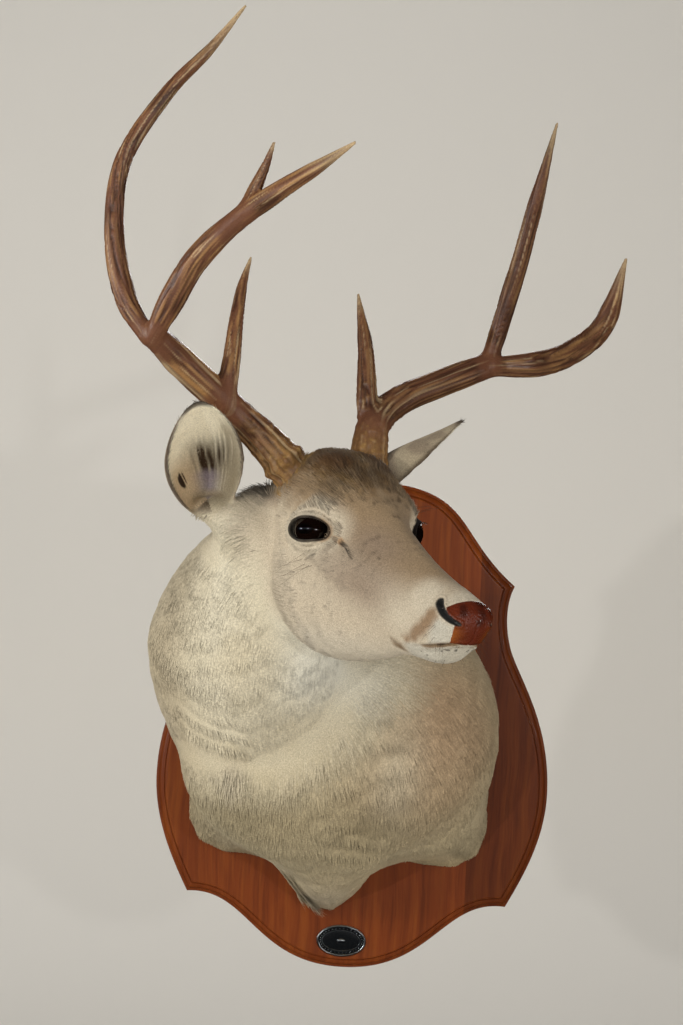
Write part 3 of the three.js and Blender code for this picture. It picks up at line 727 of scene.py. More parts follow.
def head_colours(points):
    """The head's markings, and how far each point lies on the dark top of the face."""
    head = mirrored_head(points)
    x, _, z = head.T
    patchy = noise(points, 22, 11)
    fine = noise(points, 6, 12)
    colours = np.tile(paint(CHEEK), (len(points), 1))
    top = smoothstep(-22, 14, z + 0.10 * (x - 60) + 6 * patchy) * smoothstep(168, 120, x)
    colours = tint(colours, FACE_BROWN, 0.9 * top)
    side = blob(head, (64, 38, -22), (56, 30, 26))
    colours = tint(colours, FACE_GREY, 0.85 * side)
    colours = tint(colours, FACE_GREY, 0.8 * blob(head, (52, 30, 12), (30, 24, 14)))
    crown = smoothstep(20, -15, x) * smoothstep(26, 42, z)
    colours = tint(colours, CROWN_GOLD, 0.45 * crown * smoothstep(-0.2, 0.6, fine))
    dark = smoothstep(0.0, 0.9, blob(head, (-44, 26, 54), (34, 26, 24)) + 0.2 * patchy + 0.2 * fine)
    middle_dark = smoothstep(0.1, 1.0, blob(head, (-6, 12, 52), (34, 16, 20)) + 0.2 * patchy + 0.2 * fine)
    colours = tint(colours, CROWN_DARK, np.maximum(0.85 * dark, 0.5 * middle_dark) * smoothstep(20, 36, z))
    along, above, out, off = eye_plane(head)
    ring = np.hypot(np.maximum(np.abs(along) - 12, 0) * 0.8, above - 1 - 0.04 * along) - 6
    around = smoothstep(24, 7, ring)
    colours = tint(colours, CREAM, 0.85 * around * (out > -5))
    colours = tint(colours, CHEEK, 0.5 * smoothstep(-20, -60, z) * smoothstep(120, 60, x))
    underside = smoothstep(-58, -92, z - 0.25 * (x - 60)) * smoothstep(-30, 20, x)
    colours = tint(colours, WHITE, 0.45 * underside)
    band = smoothstep(0.05, 1.0, blob(head, (131, 24, 0), (21, 18, 32)) + 0.12 * patchy + 0.08 * fine)
    colours = tint(colours, CREAM, 0.85 * band * smoothstep(-34, -8, z + 0.35 * (x - 128)))
    colours = tint(colours, CREAM, 0.8 * blob(head, (118, 28, -30), (24, 18, 20)))
    muzzle_top = smoothstep(148, 160, x) * smoothstep(3, 10, z)
    colours = tint(colours, CREAM, 0.8 * muzzle_top)
    lip = smoothstep(152, 162, x) * smoothstep(-2, -10, z)
    colours = tint(colours, WHITE, 0.95 * lip)
    patch, along_patch = line_distance(head, OCHRE_PATCH)
    colours = tint(colours, OCHRE, 0.8 * smoothstep(11, 3, patch + 2.5 * fine + 2 * along_patch))
    by_mouth = smoothstep(5, 1, line_distance(head, MOUTH)[0] + fine) * (x > 104)
    colours = tint(colours, SPOT_BROWN, 0.6 * by_mouth)
    corner = blob(head, (116, 25, -58), (15, 14, 7))
    colours = tint(colours, SPOT_BROWN, 0.9 * smoothstep(0.3, 0.8, corner + 0.15 * fine))
    below_lip = smoothstep(118, 132, x) * smoothstep(1, -3, z + 23 + (180 - x) * 0.42)
    colours = tint(colours, WHITE, 0.92 * below_lip)
    colours = tint(colours, LID_BLACK, 0.7 * below_lip * smoothstep(0.6, 0.72, noise(head, 3.2, 41)))
    away, share = line_distance(head, MOUTH)
    colours = tint(colours, SPOT_BROWN, 0.85 * smoothstep(3.2, 1.6, away) * smoothstep(0, 0.1, share))
    colours = tint(colours, LID_BLACK, 0.8 * smoothstep(1.6, 0.5, away) * smoothstep(0, 0.1, share))
    away, share = line_distance(head, NOSTRIL)
    colours = tint(colours, SLATE, smoothstep(1.3, 1.0, away / nostril_width(share)))
    away, share = line_distance(head, TEAR_DUCT)
    colours = tint(colours, TEAR_TAN, 0.8 * smoothstep(4.5, 2, away) * smoothstep(0.5, 0.25, share))
    colours = tint(colours, SLATE, 0.8 * smoothstep(2.6, 1.2, away) * smoothstep(0.2, 0.35, share))
    colours = tint(colours, TEAR_TAN, 0.6 * smoothstep(5, 2.5, off) * smoothstep(8, 16, along))
    colours = tint(colours, LID_BLACK, smoothstep(2.8, 1.6, off) * (0.9 + 0.1 * fine))
    far_corner = smoothstep(6, 4.6, off) * smoothstep(0, 6, along) * (in_head(points)[:, 1] > 0)
    colours = tint(colours, LID_BLACK, far_corner)
    return colours, top


def body_colours(points):
    x, y, z = points.T
    patchy, broad = noise(points, 30, 13), noise(points, 80, 14)
    colours = np.tile(paint(NECK_PALE), (len(points), 1))
    colours = tint(colours, NECK_WARM, smoothstep(-135, -190, x + 14 * patchy) * 0.45)
    colours = tint(colours, NECK_WARM, 0.3 * smoothstep(-0.1, 0.7, patchy))
    throat = smoothstep(-100, -50, x) * smoothstep(30, 90, z) * smoothstep(-200, -250, y)
    colours = tint(colours, THROAT, throat)
    trunk = smoothstep(20, -40, past_plane(points, NECK_EDGE) + 8 * patchy)
    colours = tint(colours, CHEST_TAN, 0.85 * trunk)
    colours = tint(colours, CHEST_PINK, 0.75 * trunk * blob(points, (75, -190, 20), (70, 200, 75)))
    colours = tint(colours, NECK_PALE, 0.55 * trunk * blob(points, (40, -215, -10), (26, 200, 55)))
    # Painted shadow: the middle of the chest greyed where the neck's shadow falls, and a patch below the pale
    # tuft at the foot of the neck.
    colours = tint(colours, CHEST_PAINTED_SHADE, 0.6 * blob(points, (18, -205, -72), (38, 90, 26)))
    colours = tint(colours, CHEST_PAINTED_SHADE, 0.55 * blob(points, (-118, -250, -55), (42, 60, 34)))
    colours = tint(colours, CREAM, 0.6 * blob(points, (-124, -262, -28), (11, 40, 16)))
    colours = tint(colours, HEM_TAN, 0.6 * trunk * smoothstep(-120, -175, z))
    colours = tint(colours, CREAM, 0.75 * blob(points, (-22, -80, -185), (54, 120, 38)))
    back = smoothstep(-60, 0, (points - (-90, -220, 90)) @ unit(np.array([-0.5, 0.8, 0.4])))
    colours = tint(colours, FACE_BROWN, 0.35 * back * (1 - trunk) + 0.3 * trunk * smoothstep(90, 150, z))
    # Painted shade: dark lines along the neck crease, the chest fold, the hem's fold and the throat line,
    # where shade falls in the hide's creases.
    for line, wide in ((NECK_CREASE, 4), (CHEST_FOLD, 5), (HEM_SEAM, 6), (THROAT_LINE, 2.5)):
        away, share = line_distance(points, line)
        ends = smoothstep(0, 0.15, share) * smoothstep(1, 0.85, share)
        colours = tint(colours, FOLD_PAINTED_SHADE, 0.9 * ends * smoothstep(wide, wide * 0.3, away))
    return tint(colours, NECK_WARM, 0.25 * smoothstep(-0.2, 0.8, broad))


def ear_colours(points, normals, side):
    share, out, far = ear_place(points, side)
    _, _, _, front, across = ear_frame(side)
    turned = np.arctan2(out @ across, -(out @ front))
    turn = np.abs(turned)
    leftward = smoothstep(0.2, -0.2, turned)
    rim = smoothstep(0.9 - 0.06 * leftward, 0.99, turn / ear_cup(np.clip(share, 0, 1), side)[1])
    rim = np.maximum(rim, smoothstep(0.9, 0.96, share - 0.03 * leftward * turned))
    floor = smoothstep(0.8, 0.7, far) * smoothstep(0.02, 0.08, share)
    inside = np.maximum(smoothstep(0.15, -0.15, (normals * out).sum(axis=1)), floor)
    patchy = noise(points, 14, 15)
    colours = np.tile(paint(EAR_BACK), (len(points), 1))
    colours = tint(colours, NECK_WARM, 0.4 * smoothstep(-0.2, 0.5, patchy))
    colours = tint(colours, CREAM, 0.6 * smoothstep(0.5, 0.1, share))
    hollow = np.tile(paint(EAR_INSIDE), (len(points), 1))
    strands = noise(np.c_[(turned - 0.36 + 0.3 * share) * 46, share * 14, np.full(len(points), 3.0)], 2.4, 16)
    hollow = tint(hollow, NECK_WARM, 0.5 * smoothstep(0.55, 0.2, share) + 0.2 * smoothstep(0, 0.6, patchy))
    centre = np.exp(-((turned - 0.36) / (0.4 + 0.6 * share)) ** 2 - ((share - 0.3) / 0.17) ** 2)
    hollow = tint(hollow, EAR_TAN, 0.6 * smoothstep(0.5, 0.15, share) * smoothstep(0.3, -0.3, turned))
    # Painted shade: the inside of the cup is darkened on the side turned away, where shade falls in it.
    shaded = smoothstep(0.6, 1.1, turned + 0.3 * strands) * smoothstep(0.9, 0.6, share)
    hollow = tint(hollow, EAR_PAINTED_SHADE, 0.6 * shaded)
    hollow = tint(hollow, EAR_DARK, centre * (1.1 + 0.8 * strands))
    canal = smoothstep(0.23, 0.16, share) * np.exp(-((turned - 0.3) / 0.45) ** 2)
    hollow = tint(hollow, EAR_CANAL, 0.95 * canal)
    hollow = tint(hollow, EAR_OCHRE, 0.9 * smoothstep(0.08, 0.03, share + 0.02 * patchy))
    spots = np.exp(-((turned + 0.8) / 0.3) ** 2 - ((share - 0.2) / 0.07) ** 2)
    hollow = tint(hollow, EAR_RIM, smoothstep(0.5, 0.85, spots * (0.8 + 0.9 * strands)))
    colours = colours + (hollow - colours) * inside[:, None]
    colours = tint(colours, EAR_RIM, 0.85 * rim * smoothstep(0.1, 0.5, share + 0.4 * leftward + 0.1 * patchy))
    return colours


def coat_colours(points, normals):
    """The coat's colour at places on the skin; tufts take it at their roots."""
    head, _, ears = regions(points)
    face, _ = head_colours(points)
    colours = body_colours(points)
    blend = smoothstep(0.15, 0.95, head + 0.12 * noise(points, 18, 17))[:, None]
    colours = colours + (face - colours) * blend
    for side, weight in ears.items():
        colours = colours + (ear_colours(points, normals, side) - colours) * weight[:, None]
    for at in PEDICLES:
        ring = np.linalg.norm(points - at, axis=1)
        colours = tint(colours, CROWN_DARK, 0.5 * smoothstep(44, 28, ring))
        colours = tint(colours, CROWN_GOLD, 0.8 * smoothstep(30, 24, ring + 3 * noise(points, 5, 19)))
    # Painted shade: a dark slate patch in the hollow between the right ear's root and the antler's pedicle.
    painted_shade_gap = blob(points, (-104, -352, 252), (22, 30, 18))
    colours = tint(colours, SLATE, 0.75 * smoothstep(0.35, 0.8, painted_shade_gap + 0.2 * noise(points, 8, 20)))
    return colours


def nose_colours(points):
    head = mirrored_head(points)
    mottle = noise(points, 7, 18)
    colours = np.tile(paint(PAD_RED), (len(points), 1))
    colours = tint(colours, PAD_DARK, 0.7 * smoothstep(-0.1, 0.7, mottle + 0.05 * head[:, 2]))
    colours = tint(colours, PAD_ORANGE, 0.95 * blob(head, (176, 22, -15), (10, 9, 9)))
    away, share = line_distance(head, NOSTRIL)
    return tint(colours, SLATE, smoothstep(1.3, 1.0, away / nostril_width(share)))


def give_colours(piece, colours):
    layer = piece.data.color_attributes.new("tone", "FLOAT_COLOR", "POINT")
    layer.data.foreach_set("color", np.c_[colours, np.ones(len(colours))].astype(np.float32).ravel())


def make_grain():
    """The shared effect of fine specks over a painted tone: the grain's colour and its height."""
    group = bpy.data.node_groups.new("fine_grain", "ShaderNodeTree")
    for socket, kind, value in (("Tone", "NodeSocketColor", (1, 1, 1, 1)),
                                ("Fineness", "NodeSocketFloat", 900.0), ("Contrast", "NodeSocketFloat", 0.5)):
        group.interface.new_socket(name=socket, in_out="INPUT", socket_type=kind).default_value = value
    group.interface.new_socket(name="Color", in_out="OUTPUT", socket_type="NodeSocketColor")
    group.interface.new_socket(name="Height", in_out="OUTPUT", socket_type="NodeSocketFloat")
    given, result = group.nodes.new("NodeGroupInput"), group.nodes.new("NodeGroupOutput")
    place = add_node(group, "TexCoord").outputs["Object"]
    speck = add_node(group, "TexNoise", {"Vector": place, "Scale": given.outputs["Fineness"],
                                         "Detail": 3.0}).outputs["Fac"]
    shade = colour_ramp(group, speck, [(0.3, (0.7,) * 3), (0.7, (1.15,) * 3)])
    mixed = add_node(group, "Mix", {"Factor": given.outputs["Contrast"], 6: given.outputs["Tone"], 7: shade},
                     data_type="RGBA", blend_type="MULTIPLY")
    group.links.new(mixed.outputs[2], result.inputs["Color"])
    group.links.new(speck, result.inputs["Height"])
    return group


def grained_material(name, fineness, contrast, strength, **settings):
    """A material whose painted tone is broken up by the shared grain, which also roughens it."""
    material, shader = new_material(name, **settings)
    tree = material.node_tree
    tone = add_node(tree, "Attribute", attribute_name="tone").outputs["Color"]
    grain = tree.nodes.new("ShaderNodeGroup")
    grain.node_tree = fine_grain
    grain.inputs["Fineness"].default_value, grain.inputs["Contrast"].default_value = fineness, contrast
    tree.links.new(tone, grain.inputs["Tone"])
    tree.links.new(grain.outputs["Color"], shader.inputs["Base Color"])
    bump = add_node(tree, "Bump", {"Strength": strength, "Distance": 0.0006,
                                   "Height": grain.outputs["Height"]})
    tree.links.new(bump.outputs["Normal"], shader.inputs["Normal"])
    return material


def nose_material():
    """Bare, painted and varnished: pebbled all over and wet-looking."""
    material, shader = new_material("bare_nose", roughness=0.38, coat_weight=0.6, coat_roughness=0.1)
    tree = material.node_tree
    tone = add_node(tree, "Attribute", attribute_name="tone").outputs["Color"]
    tree.links.new(tone, shader.inputs["Base Color"])
    place = add_node(tree, "TexCoord").outputs["Object"]
    pebbles = add_node(tree, "TexVoronoi", {"Vector": place, "Scale": 620.0},
                       feature="SMOOTH_F1").outputs["Distance"]
    bump = add_node(tree, "Bump", {"Strength": 0.9, "Distance": 0.0009, "Height": pebbles}, invert=True)
    tree.links.new(bump.outputs["Normal"], shader.inputs["Normal"])
    return material


skin_points, unmarked_points, skin_triangles = make_skin()
skin_normals = normals_of(skin_points, skin_triangles)
skin_colours = coat_colours(unmarked_points, skin_normals)
bare = (pad_share(mirrored_head(skin_points)) > 0.5) & (in_head(skin_points)[:, 0] > 120)
bare_faces = bare[skin_triangles].all(axis=1)


def part_of_skin(name, triangles, colours, material):
    used, local = np.unique(triangles, return_inverse=True)
    piece = add_piece(name, skin_points[used], local.reshape(-1, 3), material)
    give_colours(piece, colours[used])
    piece.data.normals_split_custom_set_from_vertices(skin_normals[used])
    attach(piece, "root")
    return piece


fine_grain = make_grain()
hide = grained_material("hide", 800.0, 0.9, 0.5, roughness=0.85, sheen_weight=0.05, specular_ior_level=0.15)
skin = part_of_skin("skin", skin_triangles[~bare_faces], skin_colours, hide)
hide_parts(*(name for name in FLESH if name != "nose_pad"), "ear_right", "ear_left")

# ---------------------------------------------------------------- nose
# The nose pad goes on from the skin without a break: bare leather, pebbled, painted red-brown and
# varnished to look wet, with a groove down its middle and a slit-like nostril at either side.

nose = part_of_skin("nose_leather", skin_triangles[bare_faces], nose_colours(unmarked_points),
                    nose_material())
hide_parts("nose_pad")

# ---------------------------------------------------------------- eyes
# Each eye is a blown glass ball, painted behind: near-black brown with a dark lying pupil. The lids
# are drawn over its edges and painted black round the rim.

EYE_BROWN, EYE_PUPIL, EYE_EDGE = "#0c0503", "#030202", "#070403"
PUPIL_HALF = (8.0, 4.6)


def eye_colours(points, middle, side):
    from_eye = (points - middle) @ HEAD_AXES * (1, side, 1)
    along, above = from_eye @ EYE_FORWARD, from_eye @ EYE_UP
    colours = np.tile(paint(EYE_BROWN), (len(points), 1))
    from_pupil = np.hypot(along / PUPIL_HALF[0], above / PUPIL_HALF[1])
    colours = tint(colours, EYE_PUPIL, smoothstep(1.15, 0.85, from_pupil))
    return tint(colours, EYE_EDGE, smoothstep(12.5, 15, np.hypot(along, above)))


glass, glass_shader = new_material("glass_eye", roughness=0.02, specular_ior_level=0.3)
glass_tone = add_node(glass.node_tree, "Attribute", attribute_name="tone")
glass.node_tree.links.new(glass_tone.outputs["Color"], glass_shader.inputs["Base Color"])
for side, name in ((-1, "eye_right"), (1, "eye_left")):
    middle = from_head(EYE_AT * (1, side, 1))
    eye_points, eye_faces = ball(middle, EYE_RADIUS, 96)
    eye = add_piece(f"glass_{name}", eye_points, eye_faces, glass)
    give_colours(eye, eye_colours(eye_points, middle, side))
    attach(eye, "root")
    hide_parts(name)

# ---------------------------------------------------------------- antlers
# A buck's own antlers, real bone, screwed to the skull plate under the hide. They are furrowed along
# their length, knobbly above the burr where they meet the hair, and worn smooth and pale at the tips.
# Thin pale lines along them are painted highlights on the ridges. The left one is painted darker all over.

ANTLERS = {                               # centre line and the radius at even steps along it
    "right": {
        "beam": (((-62, -366, 262), (-80, -368, 280), (-106, -373, 306), (-140, -384, 335),
                  (-180, -414, 368), (-206, -446, 392)), (21, 18.5, 15.5, 15, 14.5, 12)),
        "brow_tine": (((-141, -390, 334), (-137, -385, 376), (-135, -375, 414), (-132, -362, 448),
                       (-126, -350, 477)), (11, 9, 7.5, 5.5, 1.5)),
        "fore_beam": (((-206, -444, 384), (-185, -466, 422), (-165, -484, 453), (-135, -502, 482),
                       (-96, -524, 508), (-62, -542, 528), (-32, -560, 546)),
                      (9, 12, 11.5, 10.5, 9, 6.5, 1.5)),
        "fore_tine": (((-128, -503, 484), (-118, -510, 507), (-108, -518, 530), (-101, -525, 550)),
                      (9.5, 7, 4.5, 1.5)),
        "long_tine": (((-206, -441, 384), (-231, -440, 422), (-244, -440, 480), (-239, -441, 544),
                       (-203, -446, 604), (-165, -451, 646), (-136, -455, 684)),
                      (9, 10.5, 9, 8, 7, 5.5, 1.5)),
    },
    "left": {
        "beam": (((-4, -332, 262), (-5, -330, 285), (-1, -322, 326), (22, -303, 351), (60, -278, 371),
                  (116, -252, 397)), (21, 18, 15, 14, 14, 13.5)),
        "brow_tine": (((-4, -322, 318), (-9, -318, 350), (-13, -305, 399), (-23, -290, 455)),
                      (12, 10, 7.5, 1.5)),
        "fore_beam": (((108, -251, 393), (160, -290, 396), (189, -330, 408), (209, -368, 431),
                       (219, -410, 485)), (10, 13, 12, 10, 1.5)),
        "back_tine": (((111, -252, 396), (124, -268, 451), (136, -290, 505), (157, -345, 620)),
                      (9.5, 9.5, 8, 1.5)),
    },
}
ANTLER_VOXEL = 1.35
BURR = {"right": (-84, -369, 285), "left": (-5, -329, 283)}
BURR_HEIGHT = 5
FURROW_DEPTH, PEARL_HEIGHT = 1.8, 1.5
BURR_GOLD = "#a3834c"
LEFT_DARKENING = 0.25                         # how much darker the left antler is
ANTLER_DARK, ANTLER_BROWN, ANTLER_TAN, ANTLER_IVORY = "#2e1a10", "#6c4530", "#a27a4c", "#cdb48a"


def smooth_line(places, radii, step=3.0):
    """Even places along a smooth curve through a few, each with its radius and its distance along."""
    places = np.array(places, float)
    padded = np.concatenate([[2 * places[0] - places[1]], places, [2 * places[-1] - places[-2]]])
    dense = []
    for a, b, c, d in zip(padded, padded[1:], padded[2:], padded[3:]):
        t = np.linspace(0, 1, 24, endpoint=False)[:, None]
        dense.append(0.5 * (2 * b + (c - a) * t + (2 * a - 5 * b + 4 * c - d) * t ** 2
                            + (3 * b - a - 3 * c + d) * t ** 3))
    dense = np.concatenate(dense + [places[-1:]])
    gone = np.r_[0, np.cumsum(np.linalg.norm(np.diff(dense, axis=0), axis=1))]
    along = np.arange(0, gone[-1], step)
    along = np.r_[along, gone[-1]]
    even = np.stack([np.interp(along, gone, dense[:, axis]) for axis in range(3)], axis=1)
    radius = np.interp(along / gone[-1], np.linspace(0, 1, len(radii)), radii)
    return even, radius, along


def bar(places, radii, sides=14):
    """A closed round bar of changing radius along a line."""
    line, radius, _ = smooth_line(places, radii)
    ahead = unit(np.gradient(line, axis=0))
    first = unit(np.cross(ahead[0], (0.3, 0.9, 0.1)))
    turn = np.arange(sides) / sides * 2 * np.pi
    rings = []
    for place, width, way in zip(line, radius, ahead):
        first = unit(first - way * (first @ way))
        second = np.cross(way, first)
        rings.append(place + width * (np.cos(turn)[:, None] * first + np.sin(turn)[:, None] * second))
    points = np.concatenate(rings + [line[:1] - ahead[0] * radius[0] * 0.3, line[-1:] + ahead[-1] * 1.0])
    faces = []
    for a, b, c, d in stacked(rings):
        faces += [(a, b, c), (a, c, d)]
    last = sides * (len(rings) - 1)
    for i in range(sides):
        j = (i + 1) % sides
        faces += [(j, i, len(points) - 2), (last + i, last + j, len(points) - 1)]
    return points, np.array(faces)


def antler_marks(points, side):
    """For each point: the way out from its bar and along it, how far along it lies, its share of the bar."""
    samples, far, share, ways = [], [], [], []
    for name, (places, radii) in ANTLERS[side].items():
        line, _, along = smooth_line(places, radii, 2.0)
        root = 0 if name == "beam" else np.linalg.norm(line[0] - np.array(ANTLERS[side]["beam"][0][0]))
        samples.append(line)
        far.append(along + root)
        share.append(along / along[-1] * (name != "beam"))
        ways.append(unit(np.gradient(line, axis=0)))
    samples, far, share, ways = (np.concatenate(part) for part in (samples, far, share, ways))
    tree = KDTree(len(samples))
    for i, place in enumerate(samples):
        tree.insert(place, i)
    tree.balance()
    nearest = np.array([tree.find(point)[1] for point in points])
    out = points - samples[nearest]
    way = ways[nearest]
    out = unit(out - way * (out * way).sum(axis=1)[:, None])
    return out, way, far[nearest], share[nearest]


def antler_pattern(out, way, far):
    """Furrows: long lumps round each bar, stretched along it."""
    stretched = out * 3.4 + way * (far / 60)[:, None]
    deep = 1 - np.abs(noise(stretched, 1.0, 21)) * 2.2
    fine = 1 - np.abs(noise(stretched * 2.3, 1.0, 22)) * 2.2
    return 0.55 * deep + 0.45 * fine


def make_antler(side, material):
    bars = [bar(*spec) for spec in ANTLERS[side].values()]
    points, faces = remeshed(*joined(bars), ANTLER_VOXEL)
    edges = edges_of(faces)
    fork = np.zeros(len(points))
    for name, (places, _) in ANTLERS[side].items():
        if name != "beam":
            fork = np.maximum(fork, smoothstep(34, 16, np.linalg.norm(points - places[0], axis=1)))
    points = relax(points, edges, 0.5 * fork, 40)
    points = relax(points, edges, np.full(len(points), 0.5), 3)
    normals = normals_of(points, faces)
    out, way, far, share = antler_marks(points, side)
    furrow = antler_pattern(out, way, far)
    furrow += (0.35 + 0.3 * noise(points, 6, 28) - furrow) * 0.8 * smoothstep(0.2, 0.9, fork)
    worn = smoothstep(0.95, 0.55, share)
    low = smoothstep(150, 45, far)
    pearls = np.maximum(noise(points, 4.2, 23), 0) ** 1.3 * low
    ring = np.exp(-((points - np.array(BURR[side])) @ unit(np.array(BURR[side]) - PEDICLE_OF[side]) / 5) ** 2)
    flare = ring * (BURR_HEIGHT * 0.6 + BURR_HEIGHT * 0.5 * noise(out * 9, 1.0, 24)) * (far < 60)
    change = -FURROW_DEPTH * smoothstep(0.2, 0.95, furrow) * worn * (0.5 + 0.5 * low + 0.3) * 0.75
    change += PEARL_HEIGHT * pearls + flare
    points = points + normals * change[:, None]
    colours = np.tile(paint(ANTLER_BROWN), (len(points), 1))
    streak = noise(out * 5 + way * (far / 28)[:, None], 1.0, 25)
    pale = smoothstep(-205, -150, points[:, 0])
    if side == "left":
        pale = smoothstep(0.4, -0.4, noise(points, 70, 27))
    streaked = (0.2 + 0.3 * pale) * smoothstep(0, 0.6, streak)
    colours = tint(colours, ANTLER_TAN, 0.5 * smoothstep(0.3, -0.3, furrow) + streaked)
    to_tip = 1 - 0.6 * smoothstep(0.6, 1, share)
    colours = tint(colours, ANTLER_DARK, 0.75 * smoothstep(0.35, 0.95, furrow) * to_tip)
    colours = tint(colours, ANTLER_DARK, 0.45 * smoothstep(0.1, 0.6, noise(points, 26, 26)))
    colours = tint(colours, ANTLER_TAN, 0.8 * pearls)
    colours = tint(colours, ANTLER_IVORY, 0.75 * smoothstep(0.8, 1.02, share + 0.08 * streak))
    # Thin lengthwise lines: the pale ones are painted highlights on the ridges, the dark ones dark streaks in
    # the bone.
    hairline_and_highlight = noise(out * 6.5 + way * (far / 60)[:, None], 1.0, 30)
    colours = tint(colours, ANTLER_IVORY, 0.5 * smoothstep(0.42, 0.75, hairline_and_highlight))
    # The left antler is painted darker all over by this share.
    darkened = LEFT_DARKENING if side == "left" else 0
    colours = tint(colours, ANTLER_DARK, 0.5 * smoothstep(-0.4, -0.75, hairline_and_highlight) + darkened)
    colours = tint(colours, ANTLER_BROWN, 0.7 * smoothstep(0.35, 0.95, fork))
    gold = smoothstep(70, 35, far)
    colours = tint(colours, CROWN_GOLD, 0.3 * gold)
    colours = tint(colours, BURR_GOLD, 0.6 * gold * smoothstep(0.3, 0.8, noise(points, 2.2, 29)))
    piece = add_piece(f"antler_{side}", points, faces, material)
    give_colours(piece, colours)
    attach(piece, "root")
    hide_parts(*(f"antler_{side}_{name}" for name in ANTLERS[side]))


PEDICLE_OF = {"right": np.array(PEDICLES[0]), "left": np.array(PEDICLES[1])}
bone = grained_material("antler_bone", 700.0, 0.6, 0.35, roughness=0.42, specular_ior_level=0.45)
for side in ANTLERS:
    make_antler(side, bone)

# ---------------------------------------------------------------- coat
# Deer hair is straight and close. It lies back from the nose over the head, down the neck and over
# the shoulders to the hem: fine on the face and ears, longer and thicker on the neck and brisket.
# Each lock is a thin closed blade, rooted in the skin and bent down along it.

COAT_SEED = 20
LOCKS = {"ears": 17000, "face": 62000, "trunk": 52000, "neck": 50000}
NECK_LINE = np.array([(-68, -350, 232), (-90, -322, 200), (-110, -290, 156), (-117, -252, 106),
                      (-103, -205, 56), (-88, -150, 26), (-50, -60, 14)], float)
TRUNK_MIDDLE = np.array([-50, 0, 20])
PIECE_LIMIT = 190000                      # most triangles in one coat piece
PATCH = 0.003                             # the size of one lock on the coat's map
BOARD_GAP, SHORTEST = 0.5, 2              # how near the board a lock may reach, and the least it keeps
SUNK = 0.5                                # how deep a lock is rooted in the skin
HAIR_DARK = 0.55                          # the tone of the dark hairs that tick the face
rng = np.random.default_rng(COAT_SEED)


def flatten(ways, normals):
    """Directions laid in the skin."""
    return unit(ways - normals * (ways * normals).sum(axis=1)[:, None])


def lie_of_coat(points, normals):
    """The way the hair points, at places on the skin."""
    head, trunk, ears = regions(points)
    x, y, z = in_head(points).T
    side = np.sign(y)
    back = np.stack([-np.ones(len(x)), 0.12 * side * smoothstep(10, 40, np.abs(y)),
                     -0.42 * smoothstep(10, -50, z) + 0.12 * smoothstep(20, 45, z)], axis=1)
    mirrored = mirrored_head(points)
    _, _, _, off = eye_plane(mirrored)
    around = mirrored - EYE_AT
    push = np.exp(-(np.maximum(off, 0) / 14) ** 2)
    back += (unit(around) * (1, 0, 1)) * np.c_[np.ones(len(x)), side, np.ones(len(x))] * push[:, None] * 1.1
    chin = smoothstep(130, 150, x) * smoothstep(-20, -35, z)
    back[:, 2] -= 0.4 * chin
    on_head = back @ HEAD_AXES.T
    _, share = line_distance(points, NECK_LINE)
    step = share * (len(NECK_LINE) - 1)
    low = np.clip(step.astype(int), 0, len(NECK_LINE) - 2)
    down_neck = unit(NECK_LINE[low + 1] - NECK_LINE[low]) + (0, 0, -0.25)
    from_middle = (points - TRUNK_MIDDLE) * (1, 0, 1) / 150
    on_trunk = 0.45 * from_middle + np.array([0.05, 0.42, -0.85])
    on_trunk = on_trunk + smoothstep(40, 140, points[:, 2])[:, None] * np.array([0, 0.9, 0.6])
    ways = (on_head * head[:, None] + down_neck * ((1 - head) * (1 - trunk))[:, None]
            + on_trunk * trunk[:, None])
    for name, weight in ears.items():
        _, out, _ = ear_place(points, name)
        _, up, _, _, across = ear_frame(name)
        inside = smoothstep(0.15, -0.15, (normals * out).sum(axis=1))
        inward = up + 0.9 * -across * np.sign(out @ across)[:, None]
        on_ear = up * (1 - inside)[:, None] + inward * inside[:, None]
        ways = ways * (1 - weight)[:, None] + on_ear * weight[:, None]
    for at in PEDICLES:
        by_burr = smoothstep(36, 24, np.linalg.norm(points - at, axis=1)) * (points[:, 2] > 250)
        ways = ways + by_burr[:, None] * (0.2, -0.2, 2.2)
    swirl = 0.24 * noise(points, 45, 31) + 0.08 * noise(points, 14, 32)
    ways = flatten(ways, normals)
    return unit(ways + swirl[:, None] * np.cross(normals, ways))


